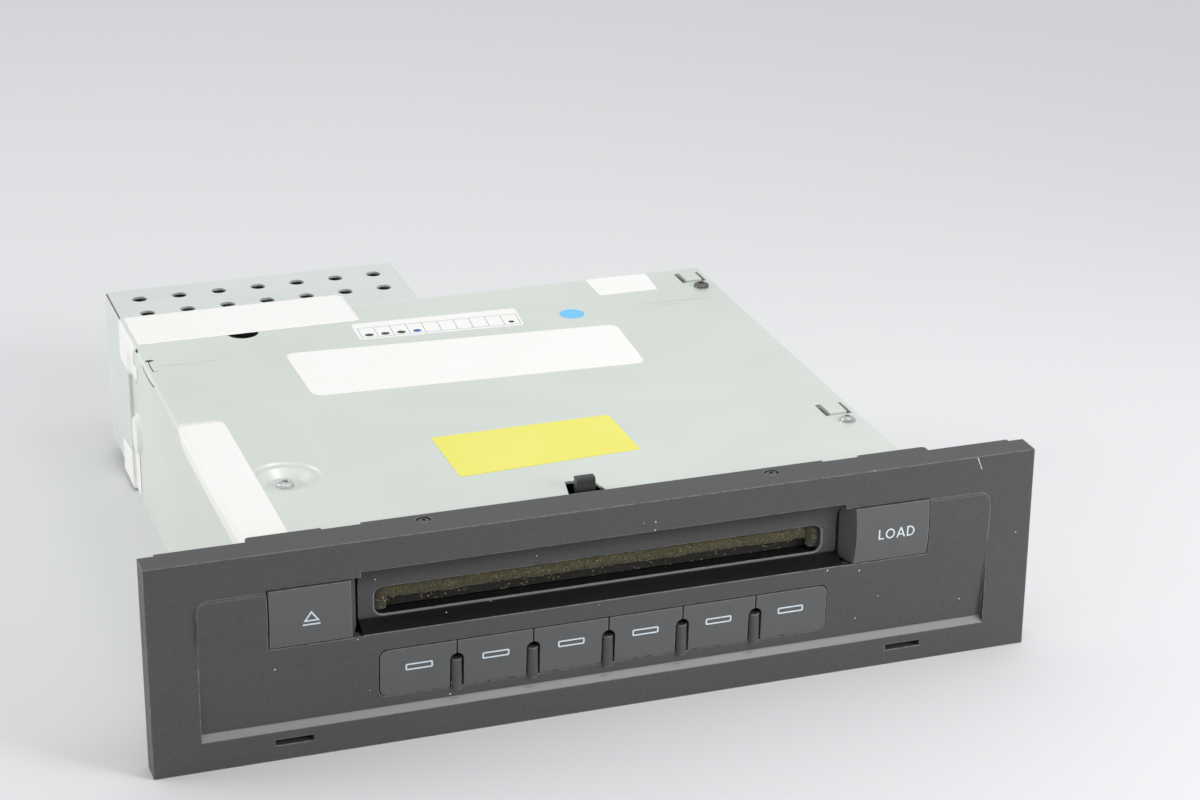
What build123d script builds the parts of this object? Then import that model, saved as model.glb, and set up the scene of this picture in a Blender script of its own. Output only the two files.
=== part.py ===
from build123d import *
from math import atan2, cos, degrees, hypot, pi, radians, sin
import os

# Slot-loading disc changer for a glovebox. Millimetres.
# X runs across the front panel, +Y into the unit, +Z up. The origin lies at the centre of the
# bounding box on the resting plane. "Depth" is counted from the flat front face of the panel.

# ---------------------------------------------------------------- driving sizes
# front panel
panel_width = 238.5
panel_height = 57.4
panel_depth_end = 7.2          # outermost strip of the panel
panel_depth_wing = 8.2         # between the strip and the collar
panel_depth_collar = 10.7      # collar that wraps the case
panel_wing_half = 115.0
panel_wall = 3.0
panel_rim = 2.0
collar_wall = 0.8
end_groove_depth = 0.7
end_groove_width = 0.6
end_groove_at = 3.8
end_groove_top_gap = 3.0

# raised and sunk field on the panel
field_half = 106.8
field_bottom = 8.1
field_split = 31.3             # crease between the crowned strip and the sloping apron
field_top = 46.9
field_crown = 0.8
field_sink = 1.6
field_bevel = 1.3
field_corner_top = 3.0
field_corner_bottom = 1.2

# disc slot with its funnel
slot_half = 60.6
slot_bottom = 33.9
slot_height = 7.5
slot_corner = 2.2
funnel_half = 65.3
funnel_top = panel_height - 8.5
funnel_depth = 5.5
lip_height = 0.7
hood_half = 64.9
hood_bottom = 29.6
hood_top = panel_height - 7.0
hood_depth = 9.4

# buttons
button_gap = 0.3
button_travel = 0.8
cap_wall = 1.2
big_button_inner = 65.6        # deep inner flank
big_button_face_inner = 68.0   # where the face starts
big_button_outer = 88.9
big_button_bottom = 31.5
big_button_top = 47.2
big_button_crown = 1.0
row_half = 60.8
row_bottom = 12.9
row_top = 26.1
row_corner = 2.0
row_count = 6
row_gap = 0.4                  # between neighbouring caps
row_proud = 0.25
post_radius = 1.55
post_bottom = 11.9
post_top = 20.6
post_proud = 0.9
post_clearance = 0.3
cap_back = 3.9                 # depth of the back rim of the caps
stem_back = 4.4
stem_radius = 1.6

# small slots and screws of the panel
tool_slot_length = 10.0
tool_slot_height = 1.6
tool_slot_at = 83.3
tool_slot_z = 5.0
panel_screw_at = 46.9
panel_screw_depth = 7.6
panel_screw_head = 1.75
panel_screw_shank = 1.0
panel_screw_head_height = 0.8
panel_screw_length = 3.5
notch_at = 67.5
notch_width = 10.2
notch_depth = 0.9

# case
case_half = 90.9
case_top = 51.8
case_rear = 174.9
cover_sheet = 0.8
cover_front = 11.1
cover_bend = 1.3
cover_skirt = 6.0              # height of the cover's side flanges
sheet = 1.0
sheet_gap = 0.2
seam = 0.05                    # between sheets that butt at the rear
chassis_front = 9.9
slot_window_half = 67.0
slot_window_bottom = 27.5
slot_window_top = 46.5
chassis_fold = 0.95
rear_thread_radius = 2.1
rear_thread_length = 4.0
rear_thread_x = 45.0
rear_thread_z = 26.0
side_boss_depth = 167.4
side_boss_z = 21.5
side_boss_width = 10.0
side_boss_height = 13.0
side_boss_proud = 1.4

# rear cage
cage_inner_side = -0.3
cage_rear = 209.4
cage_bottom = 4.3
cage_bend = 1.0
cage_flange = 6.0
cage_hole_radius = 2.3
cage_hole_pitch_x = 12.26
cage_hole_pitch_y = 12.7
cage_hole_columns = 7
cage_hole_rows = 2
cage_hole_first_x = -81.85
cage_hole_first_depth = 188.1
cage_screw_pitch = 60.0
cage_screw_drop = 5.3         # below the top of the case

# cover features
dimple_x = -70.9
dimple_depth = 56.5
dimple_radius = 9.7
dimple_shelf_radius = 7.4
dimple_shelf_drop = 0.7
dimple_floor_radius = 5.2
dimple_drop = 2.6
seal_hole_x = -58.3
seal_hole_depth = 163.0
seal_hole_radius = 4.6
lug_x = 85.4
lug_front_depth = 46.0
lug_rear_depth = 158.8
lug_window = 8.4
lug_window_width = 7.8
lug_window_x = 84.9
lug_window_ahead = 4.4
lug_tab_width = 5.0
lug_tab_proud = 0.5
cover_screw_head = 2.4
cover_screw_height = 1.4
cover_screw_shank = 1.35
cover_screw_length = 4.2

# latch finger in the middle of the cover
latch_x = 1.5
latch_width = 5.2
latch_front = 23.4
latch_thickness = 2.4
latch_top = 55.3
latch_arm_bottom = 47.2
latch_arm_height = 1.4
latch_slot_margin = 0.9
latch_slot_length = 8.0

# disc store
disc_depth = 88.5              # depth of the disc centre when stored
disc_level = 34.6              # underside of a tray at loading height
tray_radius = 62.0
tray_bore = 24.0
tray_thickness = 1.2
tray_pitch = 2.2
tray_count = 6
tray_ear_half = 24.0
tray_ear_reach = 65.2
tray_window_half = 14.0
tray_window_end = 57.0
store_wall_inner = 63.6
store_wall = 3.0
store_wall_length = 76.0
groove_depth = 1.8
groove_play = 0.2
store_floor = 1.2
store_bar_height = 6.0
store_bar_depth = 151.8
store_bar_thickness = 2.0
store_pin_radius = 1.5
store_pin_reach = 77.5
store_pin_front = 66.0
store_pin_rear = 110.0
store_pin_z = 30.0

# cam slides, racks and the shaft that keeps them in step
cam_x = 72.0
cam_thickness = 1.2
cam_travel = 33.0
cam_front = 58.0
cam_top = 46.0
cam_clearance = 0.3
guide_pin_radius = 1.2
guide_pin_z = 43.4
guide_pin_front = 60.0
guide_pin_rear = 104.0
gear_module = 0.8
gear_width = 3.0
sync_teeth = 15
sync_depth = 116.0
sync_z = 19.0
cam_rear = sync_depth + 41.0
sync_shaft_radius = 1.5
lift_teeth = 8
lift_angle = -34.0             # direction from the sync gear to the lift pinion
motor_radius = 6.0
motor_length = 22.0
motor_shaft_radius = 0.9
motor_shaft_play = 0.05
motor_bore_depth = 5.0

# mechanism frame
frame_sheet = 1.2
frame_base = 3.0
frame_half = 84.0
frame_front = 12.6
frame_rear = 168.0
upright_x = 75.0
upright_rear = 160.0
upright_top = 46.6
upright_window_behind = 20.0   # behind the gear shaft
upright_window_z = 24.0
upright_window_width = 18.0
upright_window_height = 22.0
damper_radius = 5.0
damper_at_x = 78.0
damper_front = 24.0
damper_rear = 156.0
running = 0.05                 # radial clearance of shafts in their bores

# feed roller train
roller_depth = 20.5
roller_z = 30.6
roller_shaft_radius = 1.5
roller_radius_mid = 3.2
roller_radius_end = 3.9
roller_half = 62.0
roller_waist = 4.0
roller_teeth = 12
idler_teeth = 18
idler_angle = -25.0
pinion_teeth = 8
pinion_angle = -38.0
feed_gear_x = 77.4
guide_plate_half = 66.0
guide_plate_front = 13.2
guide_plate_rear = 24.6
guide_plate_z = 38.8
guide_plate_thickness = 1.4
guide_pivot_depth = 15.0
guide_pivot_z = 41.6
guide_pivot_radius = 1.2

# player under the store
arm_plate_z = 6.0
arm_plate = 1.2
arm_left = -70.0
arm_right = 14.0
arm_half = 18.0
arm_pivot_x = -58.0
arm_pivot_depth = 130.0
arm_pivot_radius = 2.5
arm_hub_radius = 5.0
arm_hub_height = 3.0
spindle_motor_radius = 9.0
spindle_motor_height = 6.2
turntable_radius = 12.0
turntable_top = 17.2
turntable_z = 14.0
rod_radius = 1.25
rod_offset = 12.5
rod_z = 11.0
rod_left = -68.0
rod_right = -11.0
rod_ear = 1.5
sled_length = 18.0
sled_right = -14.0
sled_bottom = 8.2
sled_height = 6.0
sled_travel = 30.0
lens_radius = 2.6
lens_height = 1.2
screw_offset = 17.5
sled_motor_length = 17.0
sled_motor_left = -9.6
sled_motor_bore = 5.0

# clamp above the store
clamp_shaft_depth = 154.5
clamp_shaft_z = 48.8
clamp_shaft_radius = 1.2
clamp_arm_half = 9.0
clamp_arm_thickness = 1.0
clamp_arm_z = 49.5
clamper_radius = 13.0
clamper_thickness = 1.4
clamper_stem = 2.0

# electronics
board = 1.6
switch_board_depth = 6.4
switch_board_half = 90.4
switch_board_bottom = 4.5
switch_board_top = 49.5
switch_size = 6.0
switch_height = 0.8
connector_width = 34.0
connector_height = 15.0
connector_length = 15.0
connector_x = -45.0
connector_wall = 1.5
connector_floor = 3.0
part_offset = 31.0             # chips and capacitors either side of the middle of the board
chip_size = 14.0
chip_height = 1.6
chip_behind = 14.0             # behind the cage's front edge
capacitor_radius = 3.2
capacitor_height = 8.0
capacitor_ahead = 7.4          # ahead of the cage's rear face

# ---------------------------------------------------------------- derived places
front = -(cage_rear - big_button_crown) / 2
collar_half = case_half + 1.1
collar_inner = collar_half - collar_wall
chassis_half = case_half - cover_sheet - sheet_gap
chassis_top = case_top - cover_sheet
store_travel = (tray_count - 1) * tray_pitch
store_low = disc_level - store_travel
row_pitch = (2 * row_half + row_gap) / row_count
apron_slope = field_sink / (field_split - field_bottom - field_bevel)


def back(depth):
    """Y of a point that lies this far behind the panel's flat front face."""
    return front + depth


def facing(depth):
    """Upright plane at a depth: local x is X, local y is Z, extrusion by a minus amount runs back."""
    return Plane.XZ.offset(-back(depth))


def apron_depth(z):
    """Depth of the sloping apron at a height."""
    return (field_split - z) * apron_slope


def pitch_radius(teeth):
    return gear_module * teeth / 2


def gear_outline(teeth, phase):
    """Gear profile: a root disc with tapered teeth, one of them at the phase angle (degrees)."""
    radius = pitch_radius(teeth)
    root = radius - 1.15 * gear_module
    tip = radius + 0.8 * gear_module
    half_root = 0.30 * pi * gear_module
    half_tip = 0.11 * pi * gear_module
    Circle(root)
    with PolarLocations(0, teeth, start_angle=phase):
        Polygon(
            (root - 0.3, -half_root), (tip, -half_tip), (tip, half_tip), (root - 0.3, half_root),
            align=None,
        )


def meshing_phase(driver_teeth, driver_phase, direction, teeth):
    """Phase of a gear that meshes with a driver lying in the opposite of the direction (degrees)."""
    step = 360 / driver_teeth
    offset = (driver_phase - direction + step / 2) % step - step / 2
    return direction + 180 - offset * driver_teeth / teeth + 180 / teeth


def polar(distance, angle):
    return distance * cos(radians(angle)), distance * sin(radians(angle))


def finish(piece, label):
    """Name a finished piece and write it out."""
    piece.part.label = label
    export_step(piece.part, f"parts/{label}.step")


os.makedirs("parts", exist_ok=True)

# ---------------------------------------------------------------- front panel
crown_middle = field_split + 0.62 * (field_top - field_split)

# crowned strip that carries the two large buttons
with BuildPart() as crown_strip:
    with BuildSketch(Plane.YZ):
        with BuildLine():
            ThreePointArc(
                (back(0.01), field_split),
                (back(-field_crown), crown_middle),
                (back(-0.45 * field_crown), field_top - 0.5),
            )
            Line((back(-0.45 * field_crown), field_top - 0.5), (back(0), field_top))
            Line((back(0), field_top), (back(panel_wall), field_top))
            Line((back(panel_wall), field_top), (back(panel_wall), field_split))
            Line((back(panel_wall), field_split), (back(0.01), field_split))
        make_face()
    extrude(amount=field_half, both=True)
    top_corners = crown_strip.edges().filter_by(Axis.Y).group_by(Axis.Z)[-1]
    fillet(top_corners, radius=field_corner_top)

# sunk apron below the crease, with a bevel along its lower edge
with BuildPart() as apron_cut:
    with BuildSketch(Plane.YZ):
        with BuildLine():
            Polyline(
                (back(0), field_split),
                (back(field_sink), field_bottom + field_bevel),
                (back(0), field_bottom),
                close=True,
            )
        make_face()
    extrude(amount=field_half, both=True)

# hollow in front of the disc slot: a concave brow, a short lip and a sloping ledge
with BuildPart() as funnel_cut:
    with BuildSketch(Plane.YZ):
        with BuildLine():
            Line((back(-3), funnel_top), (back(0), funnel_top))
            ThreePointArc(
                (back(0), funnel_top),
                (back(0.60 * funnel_depth), funnel_top - 0.32 * (funnel_top - slot_bottom - slot_height)),
                (back(funnel_depth), slot_bottom + slot_height + 0.2),
            )
            Line(
                (back(funnel_depth), slot_bottom + slot_height + 0.2),
                (back(funnel_depth), slot_bottom - lip_height),
            )
            Line((back(funnel_depth), slot_bottom - lip_height), (back(0), field_split))
            Line((back(0), field_split), (back(-3), field_split))
            Line((back(-3), field_split), (back(-3), funnel_top))
        make_face()
    extrude(amount=funnel_half, both=True)

with BuildPart() as front_panel:
    with BuildSketch(Plane.XY):
        with BuildLine():
            half_outline = Polyline(
                (0, back(0)),
                (panel_width / 2, back(0)),
                (panel_width / 2, back(panel_depth_end)),
                (panel_wing_half, back(panel_depth_end)),
                (panel_wing_half, back(panel_depth_wing)),
                (collar_half, back(panel_depth_wing)),
                (collar_half, back(panel_depth_collar)),
                (0, back(panel_depth_collar)),
            )
            mirror(half_outline, about=Plane.YZ)
        make_face()
    extrude(amount=panel_height)
    collar_edges = front_panel.edges().filter_by(Axis.Z).group_by(Axis.Y)[-1]
    fillet(collar_edges, radius=1.2)
    # hollow back, then the collar's inside
    with BuildSketch(facing(panel_wall)):
        with Locations((0, panel_height / 2)):
            Rectangle(panel_width - 2 * panel_rim, panel_height - 2 * panel_rim)
    extrude(amount=-panel_depth_collar, mode=Mode.SUBTRACT)
    with BuildSketch(facing(panel_depth_wing)):
        with Locations((0, (panel_height - panel_rim) / 2)):
            Rectangle(2 * collar_inner, panel_height - panel_rim)
    extrude(amount=-panel_depth_collar, mode=Mode.SUBTRACT)
    with BuildSketch(facing(panel_wall)):
        with Locations((0, panel_height / 2)):
            with GridLocations(2 * collar_half - collar_wall, 0, 2, 1):
                Rectangle(collar_wall, panel_height - 2 * panel_rim)
    extrude(amount=-(panel_depth_collar - panel_wall - 1.2))
    # hood behind the disc slot
    with BuildSketch(facing(panel_wall)):
        with Locations((0, (hood_bottom + hood_top) / 2)):
            Rectangle(2 * hood_half, hood_top - hood_bottom)
    extrude(amount=-(hood_depth - panel_wall))
    # seats of the switch board
    with BuildSketch(facing(panel_wall)):
        with Locations((0, switch_board_bottom + 3.0)):
            with GridLocations(2 * (switch_board_half - 6), 0, 2, 1):
                Circle(2.4)
        with Locations((0, switch_board_bottom + 3.0)):
            with GridLocations(2 * row_pitch, 0, 2, 1):
                Circle(2.4)
    extrude(amount=-(switch_board_depth - panel_wall))
    # field, funnel and slot
    add(apron_cut.part, mode=Mode.SUBTRACT)
    add(crown_strip.part)
    add(funnel_cut.part, mode=Mode.SUBTRACT)
    with BuildSketch(facing(0)):
        with Locations((0, slot_bottom + slot_height / 2)):
            RectangleRounded(2 * slot_half, slot_height, slot_corner)
    extrude(amount=-(hood_depth + 1), mode=Mode.SUBTRACT)
    # openings of the buttons
    with BuildSketch(facing(-3)):
        with Locations((0, (big_button_bottom + big_button_top) / 2)):
            with GridLocations(big_button_outer + funnel_half, 0, 2, 1):
                Rectangle(
                    big_button_outer + button_gap - funnel_half + 0.4,
                    big_button_top - big_button_bottom + 2 * button_gap,
                )
        with Locations((0, (row_bottom + row_top) / 2)):
            RectangleRounded(
                2 * (row_half + button_gap), row_top - row_bottom + 2 * button_gap, row_corner + button_gap,
            )
    extrude(amount=-(panel_wall + 3.5), mode=Mode.SUBTRACT)
    # round posts between the six small buttons, with a stiffening web behind each
    post_axis = apron_depth((post_bottom + post_top) / 2) - post_proud + post_radius
    with BuildSketch(Plane.XY.offset(post_bottom)):
        with Locations((0, back(post_axis))):
            with GridLocations(row_pitch, 0, row_count - 1, 1):
                Circle(post_radius)
        with Locations((0, back(post_axis + post_radius))):
            with GridLocations(row_pitch, 0, row_count - 1, 1):
                Rectangle(post_radius, 2 * post_radius)
    extrude(amount=post_top - post_bottom)
    # small slots for the release tools
    with BuildSketch(facing(-1)):
        with Locations((0, tool_slot_z)):
            with GridLocations(2 * tool_slot_at, 0, 2, 1):
                Rectangle(tool_slot_length, tool_slot_height)
    extrude(amount=-(panel_wall + 2), mode=Mode.SUBTRACT)
    # screw seats and tab notches in the top wall
    with BuildSketch(Plane.XY.offset(panel_height - panel_rim - 1)):
        with Locations((0, back(panel_screw_depth))):
            with GridLocations(2 * panel_screw_at, 0, 2, 1):
                Circle(panel_screw_shank + 0.1)
        with Locations((0, back(panel_depth_collar - notch_depth / 2))):
            with GridLocations(2 * notch_at, 0, 2, 1):
                Rectangle(notch_width, notch_depth)
    extrude(amount=panel_rim + 2, mode=Mode.SUBTRACT)
    with BuildSketch(Plane.XY.offset(panel_height - 0.9)):
        with Locations((0, back(panel_screw_depth))):
            with GridLocations(2 * panel_screw_at, 0, 2, 1):
                Circle(panel_screw_head + 0.25)
    extrude(amount=1, mode=Mode.SUBTRACT)
    # moulded groove down each end face
    with BuildSketch(Plane.XY):
        with Locations((0, back(end_groove_at))):
            with GridLocations(panel_width - end_groove_depth, 0, 2, 1):
                Rectangle(end_groove_depth, end_groove_width)
    extrude(amount=panel_height - end_groove_top_gap, mode=Mode.SUBTRACT)
finish(front_panel, "front_panel")

# ---------------------------------------------------------------- large buttons
big_middle = big_button_bottom + 0.62 * (big_button_top - big_button_bottom)

with BuildPart() as load_button:
    with BuildSketch(Plane.YZ.offset(big_button_inner)):
        with BuildLine():
            ThreePointArc(
                (back(-0.05), big_button_bottom),
                (back(-big_button_crown), big_middle),
                (back(-0.45 * big_button_crown), big_button_top),
            )
            Polyline(
                (back(-0.45 * big_button_crown), big_button_top),
                (back(cap_back + 1.4), big_button_top),
                (back(cap_back + 1.4), big_button_bottom),
                (back(-0.05), big_button_bottom),
            )
        make_face()
    extrude(amount=big_button_outer - big_button_inner)
    # flank that falls away towards the slot
    with BuildSketch(Plane.XY.offset(big_button_bottom - 1)):
        with BuildLine():
            Polyline(
                (big_button_inner - 1, back(-3)),
                (big_button_face_inner + 0.6, back(-3)),
                (big_button_face_inner, back(-0.4)),
                (big_button_inner, back(cap_back + 1)),
                (big_button_inner - 1, back(cap_back + 1)),
                close=True,
            )
        make_face()
    extrude(amount=big_button_top - big_button_bottom + 2, mode=Mode.SUBTRACT)
    # hollow back with the pusher
    button_middle_x = (big_button_face_inner + big_button_outer) / 2
    button_middle_z = (big_button_bottom + big_button_top) / 2
    with BuildSketch(facing(1.4)):
        with Locations((button_middle_x, button_middle_z)):
            Rectangle(
                big_button_outer - big_button_face_inner - 2 * cap_wall,
                big_button_top - big_button_bottom - 2 * cap_wall,
            )
    extrude(amount=-(cap_back + 2), mode=Mode.SUBTRACT)
    with BuildSketch(facing(1.0)):
        with Locations((button_middle_x, button_middle_z)):
            Circle(stem_radius)
    extrude(amount=-(stem_back - 1.0))

with BuildPart() as eject_button:
    add(mirror(load_button.part, about=Plane.YZ, mode=Mode.PRIVATE))
finish(load_button, "load_button")
finish(eject_button, "eject_button")

# ---------------------------------------------------------------- six disc buttons
row_cap_width = row_pitch - row_gap
row_height = row_top - row_bottom
for index in range(row_count):
    cap_x = (index - (row_count - 1) / 2) * row_pitch
    cap_left = cap_x - row_cap_width / 2
    with BuildPart() as disc_button:
        with BuildSketch(Plane.YZ.offset(cap_left)):
            with BuildLine():
                Polyline(
                    (back(apron_depth(row_bottom) - row_proud), row_bottom),
                    (back(apron_depth(row_top) - row_proud), row_top),
                    (back(cap_back), row_top),
                    (back(cap_back), row_bottom),
                    close=True,
                )
            make_face()
        extrude(amount=row_cap_width)
        # rounded corners at the two ends of the row
        if index == 0:
            fillet(disc_button.edges().filter_by(Axis.Y).group_by(Axis.X)[0], radius=row_corner)
        if index == row_count - 1:
            fillet(disc_button.edges().filter_by(Axis.Y).group_by(Axis.X)[-1], radius=row_corner)
        # round-topped slots that clear the posts
        for side in (-1, 1):
            if 0 <= index + side < row_count:
                post_x = cap_x + side * row_pitch / 2
                with BuildSketch(facing(-2)):
                    with Locations((post_x, (row_bottom - 2 + post_top) / 2)):
                        Rectangle(2 * (post_radius + post_clearance), post_top - row_bottom + 2)
                    with Locations((post_x, post_top)):
                        Circle(post_radius + post_clearance)
                extrude(amount=-(cap_back + 4), mode=Mode.SUBTRACT)
        # hollow back with the pusher
        with BuildSketch(facing(2.4)):
            with Locations((cap_x, (row_bottom + row_top) / 2)):
                Rectangle(
                    row_cap_width - 2 * (post_radius + post_clearance + cap_wall),
                    row_height - 2 * cap_wall,
                )
        extrude(amount=-cap_back, mode=Mode.SUBTRACT)
        with BuildSketch(facing(2.0)):
            with Locations((cap_x, (row_bottom + row_top) / 2)):
                Circle(stem_radius)
        extrude(amount=-(stem_back - 2.0))
    finish(disc_button, f"disc_button_{index + 1}")

# ---------------------------------------------------------------- felt in the slot
felt_front = 6.9
felt_thickness = 2.2
felt_drop = 4.6
felt_end = 2.6
with BuildPart() as slot_felt:
    with BuildSketch(facing(felt_front)):
        with Locations((0, slot_bottom + slot_height - felt_drop / 2)):
            Rectangle(2 * (slot_half - slot_corner), felt_drop)
        with Locations((0, slot_bottom + slot_height / 2)):
            with GridLocations(2 * (slot_half - felt_end / 2) - 0.2, 0, 2, 1):
                Rectangle(felt_end, slot_height - 2 * slot_corner)
    extrude(amount=-felt_thickness)
finish(slot_felt, "slot_felt")

# ---------------------------------------------------------------- switch board behind the buttons
with BuildPart() as switch_board:
    with BuildSketch(facing(switch_board_depth)):
        with Locations((0, (switch_board_bottom + switch_board_top) / 2)):
            Rectangle(2 * switch_board_half, switch_board_top - switch_board_bottom)
        with Locations((0, (hood_bottom - 0.5 + switch_board_top) / 2 + 1)):
            Rectangle(2 * (hood_half + 0.5), switch_board_top - hood_bottom + 2.5, mode=Mode.SUBTRACT)
    extrude(amount=-board)
finish(switch_board, "switch_board")

switch_spots = [((i - (row_count - 1) / 2) * row_pitch, (row_bottom + row_top) / 2) for i in range(row_count)]
switch_spots += [(side * button_middle_x, button_middle_z) for side in (-1, 1)]
with BuildPart() as tact_switches:
    with BuildSketch(facing(switch_board_depth)):
        with Locations(*switch_spots):
            Rectangle(switch_size, switch_size)
    extrude(amount=switch_height)
    with BuildSketch(facing(switch_board_depth - switch_height)):
        with Locations(*switch_spots):
            Circle(stem_radius)
    extrude(amount=0.25)
finish(tact_switches, "tact_switches")

# ---------------------------------------------------------------- chassis tray
with BuildPart() as chassis:
    chassis_length = case_rear - seam - chassis_front
    with BuildSketch(Plane.XY):
        with Locations((0, back(chassis_front + chassis_length / 2))):
            Rectangle(2 * chassis_half, chassis_length)
    extrude(amount=chassis_top)
    fillet(chassis.edges().filter_by(Axis.Y).group_by(Axis.Z)[-1], radius=chassis_fold)
    with BuildSketch(Plane.XY.offset(sheet)):
        with Locations((0, back(chassis_front + chassis_length / 2))):
            Rectangle(2 * (chassis_half - sheet), chassis_length - 2 * sheet)
    extrude(amount=chassis_top, mode=Mode.SUBTRACT)
    # window for the disc and the loading rollers in the front wall
    with BuildSketch(facing(chassis_front - 1)):
        with Locations((0, (slot_window_bottom + slot_window_top) / 2)):
            Rectangle(2 * slot_window_half, slot_window_top - slot_window_bottom)
        with Locations((0, 12)):
            with GridLocations(60, 0, 2, 1):
                SlotOverall(36, 8)
    extrude(amount=-(sheet + 2), mode=Mode.SUBTRACT)
    # boss pressed outwards near the rear of the left wall
    with BuildSketch(Plane.YZ.offset(-chassis_half + 0.01)):
        with Locations((back(side_boss_depth), side_boss_z)):
            SlotOverall(side_boss_height, side_boss_width, rotation=90)
    extrude(amount=-side_boss_proud, taper=40)
    # passage to the rear cage
    with BuildSketch(facing(case_rear - sheet - 2)):
        with Locations((connector_x, 18)):
            Rectangle(52, 14)
    extrude(amount=-6, mode=Mode.SUBTRACT)
    # top flanges that take the cover screws, each with a raised locating tab
    for lug_depth in (lug_front_depth, lug_rear_depth):
        with BuildSketch(Plane.XY.offset(chassis_top - sheet)):
            with Locations((chassis_half - sheet - 4.5, back(lug_depth + 4))):
                Rectangle(9, 26 if lug_depth == lug_front_depth else 20)
        extrude(amount=sheet)
        window_middle = back(lug_depth + lug_window_ahead + lug_window / 2)
        with BuildSketch(Plane.XY.offset(chassis_top)):
            with Locations((lug_window_x, window_middle)):
                Rectangle(lug_tab_width, lug_window - 1.4)
        extrude(amount=cover_sheet + lug_tab_proud)
        # open slots either side of the tab
        with BuildSketch(Plane.XY.offset(chassis_top - sheet - 1)):
            with Locations((lug_window_x, window_middle)):
                with GridLocations((lug_window_width + lug_tab_width) / 2, 0, 2, 1):
                    Rectangle((lug_window_width - lug_tab_width) / 2, lug_window)
        extrude(amount=sheet + 1, mode=Mode.SUBTRACT)
        with BuildSketch(Plane.XY.offset(chassis_top - sheet - 1)):
            with Locations((lug_x, back(lug_depth))):
                Circle(cover_screw_shank + 0.1)
        extrude(amount=sheet + 2, mode=Mode.SUBTRACT)
    # upright tabs behind the notches of the panel, and screw tabs under its top wall
    with BuildSketch(facing(chassis_front)):
        with Locations((0, (chassis_top + panel_height - 0.3) / 2)):
            with GridLocations(2 * notch_at, 0, 2, 1):
                Rectangle(notch_width - 1.0, panel_height - 0.3 - chassis_top + 0.4)
        with Locations((0, (chassis_top + panel_height - panel_rim - 0.2) / 2)):
            with GridLocations(2 * panel_screw_at, 0, 2, 1):
                Rectangle(9.0, panel_height - panel_rim - 0.2 - chassis_top + 0.4)
    extrude(amount=-sheet * 0.8)
    with BuildSketch(Plane.XY.offset(panel_height - panel_rim - 0.2 - sheet)):
        with Locations((0, back((chassis_front + 0.8 + panel_screw_depth - 2.6) / 2))):
            with GridLocations(2 * panel_screw_at, 0, 2, 1):
                Rectangle(9.0, chassis_front + 0.8 - panel_screw_depth + 2.6)
    extrude(amount=sheet)
    with BuildSketch(Plane.XY.offset(panel_height - panel_rim - 3)):
        with Locations((0, back(panel_screw_depth))):
            with GridLocations(2 * panel_screw_at, 0, 2, 1):
                Circle(panel_screw_shank + 0.1)
    extrude(amount=3, mode=Mode.SUBTRACT)
    # weld nut behind the rear wall, for the rear support of the installed unit
    with BuildSketch(facing(case_rear - seam - rear_thread_length)):
        with Locations((rear_thread_x, rear_thread_z)):
            Circle(2 * rear_thread_radius)
    extrude(amount=-(rear_thread_length - sheet / 2))
    with BuildSketch(facing(case_rear - seam - rear_thread_length - 1)):
        with Locations((rear_thread_x, rear_thread_z)):
            Circle(rear_thread_radius)
    extrude(amount=-(rear_thread_length + 2), mode=Mode.SUBTRACT)
finish(chassis, "chassis")

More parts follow.
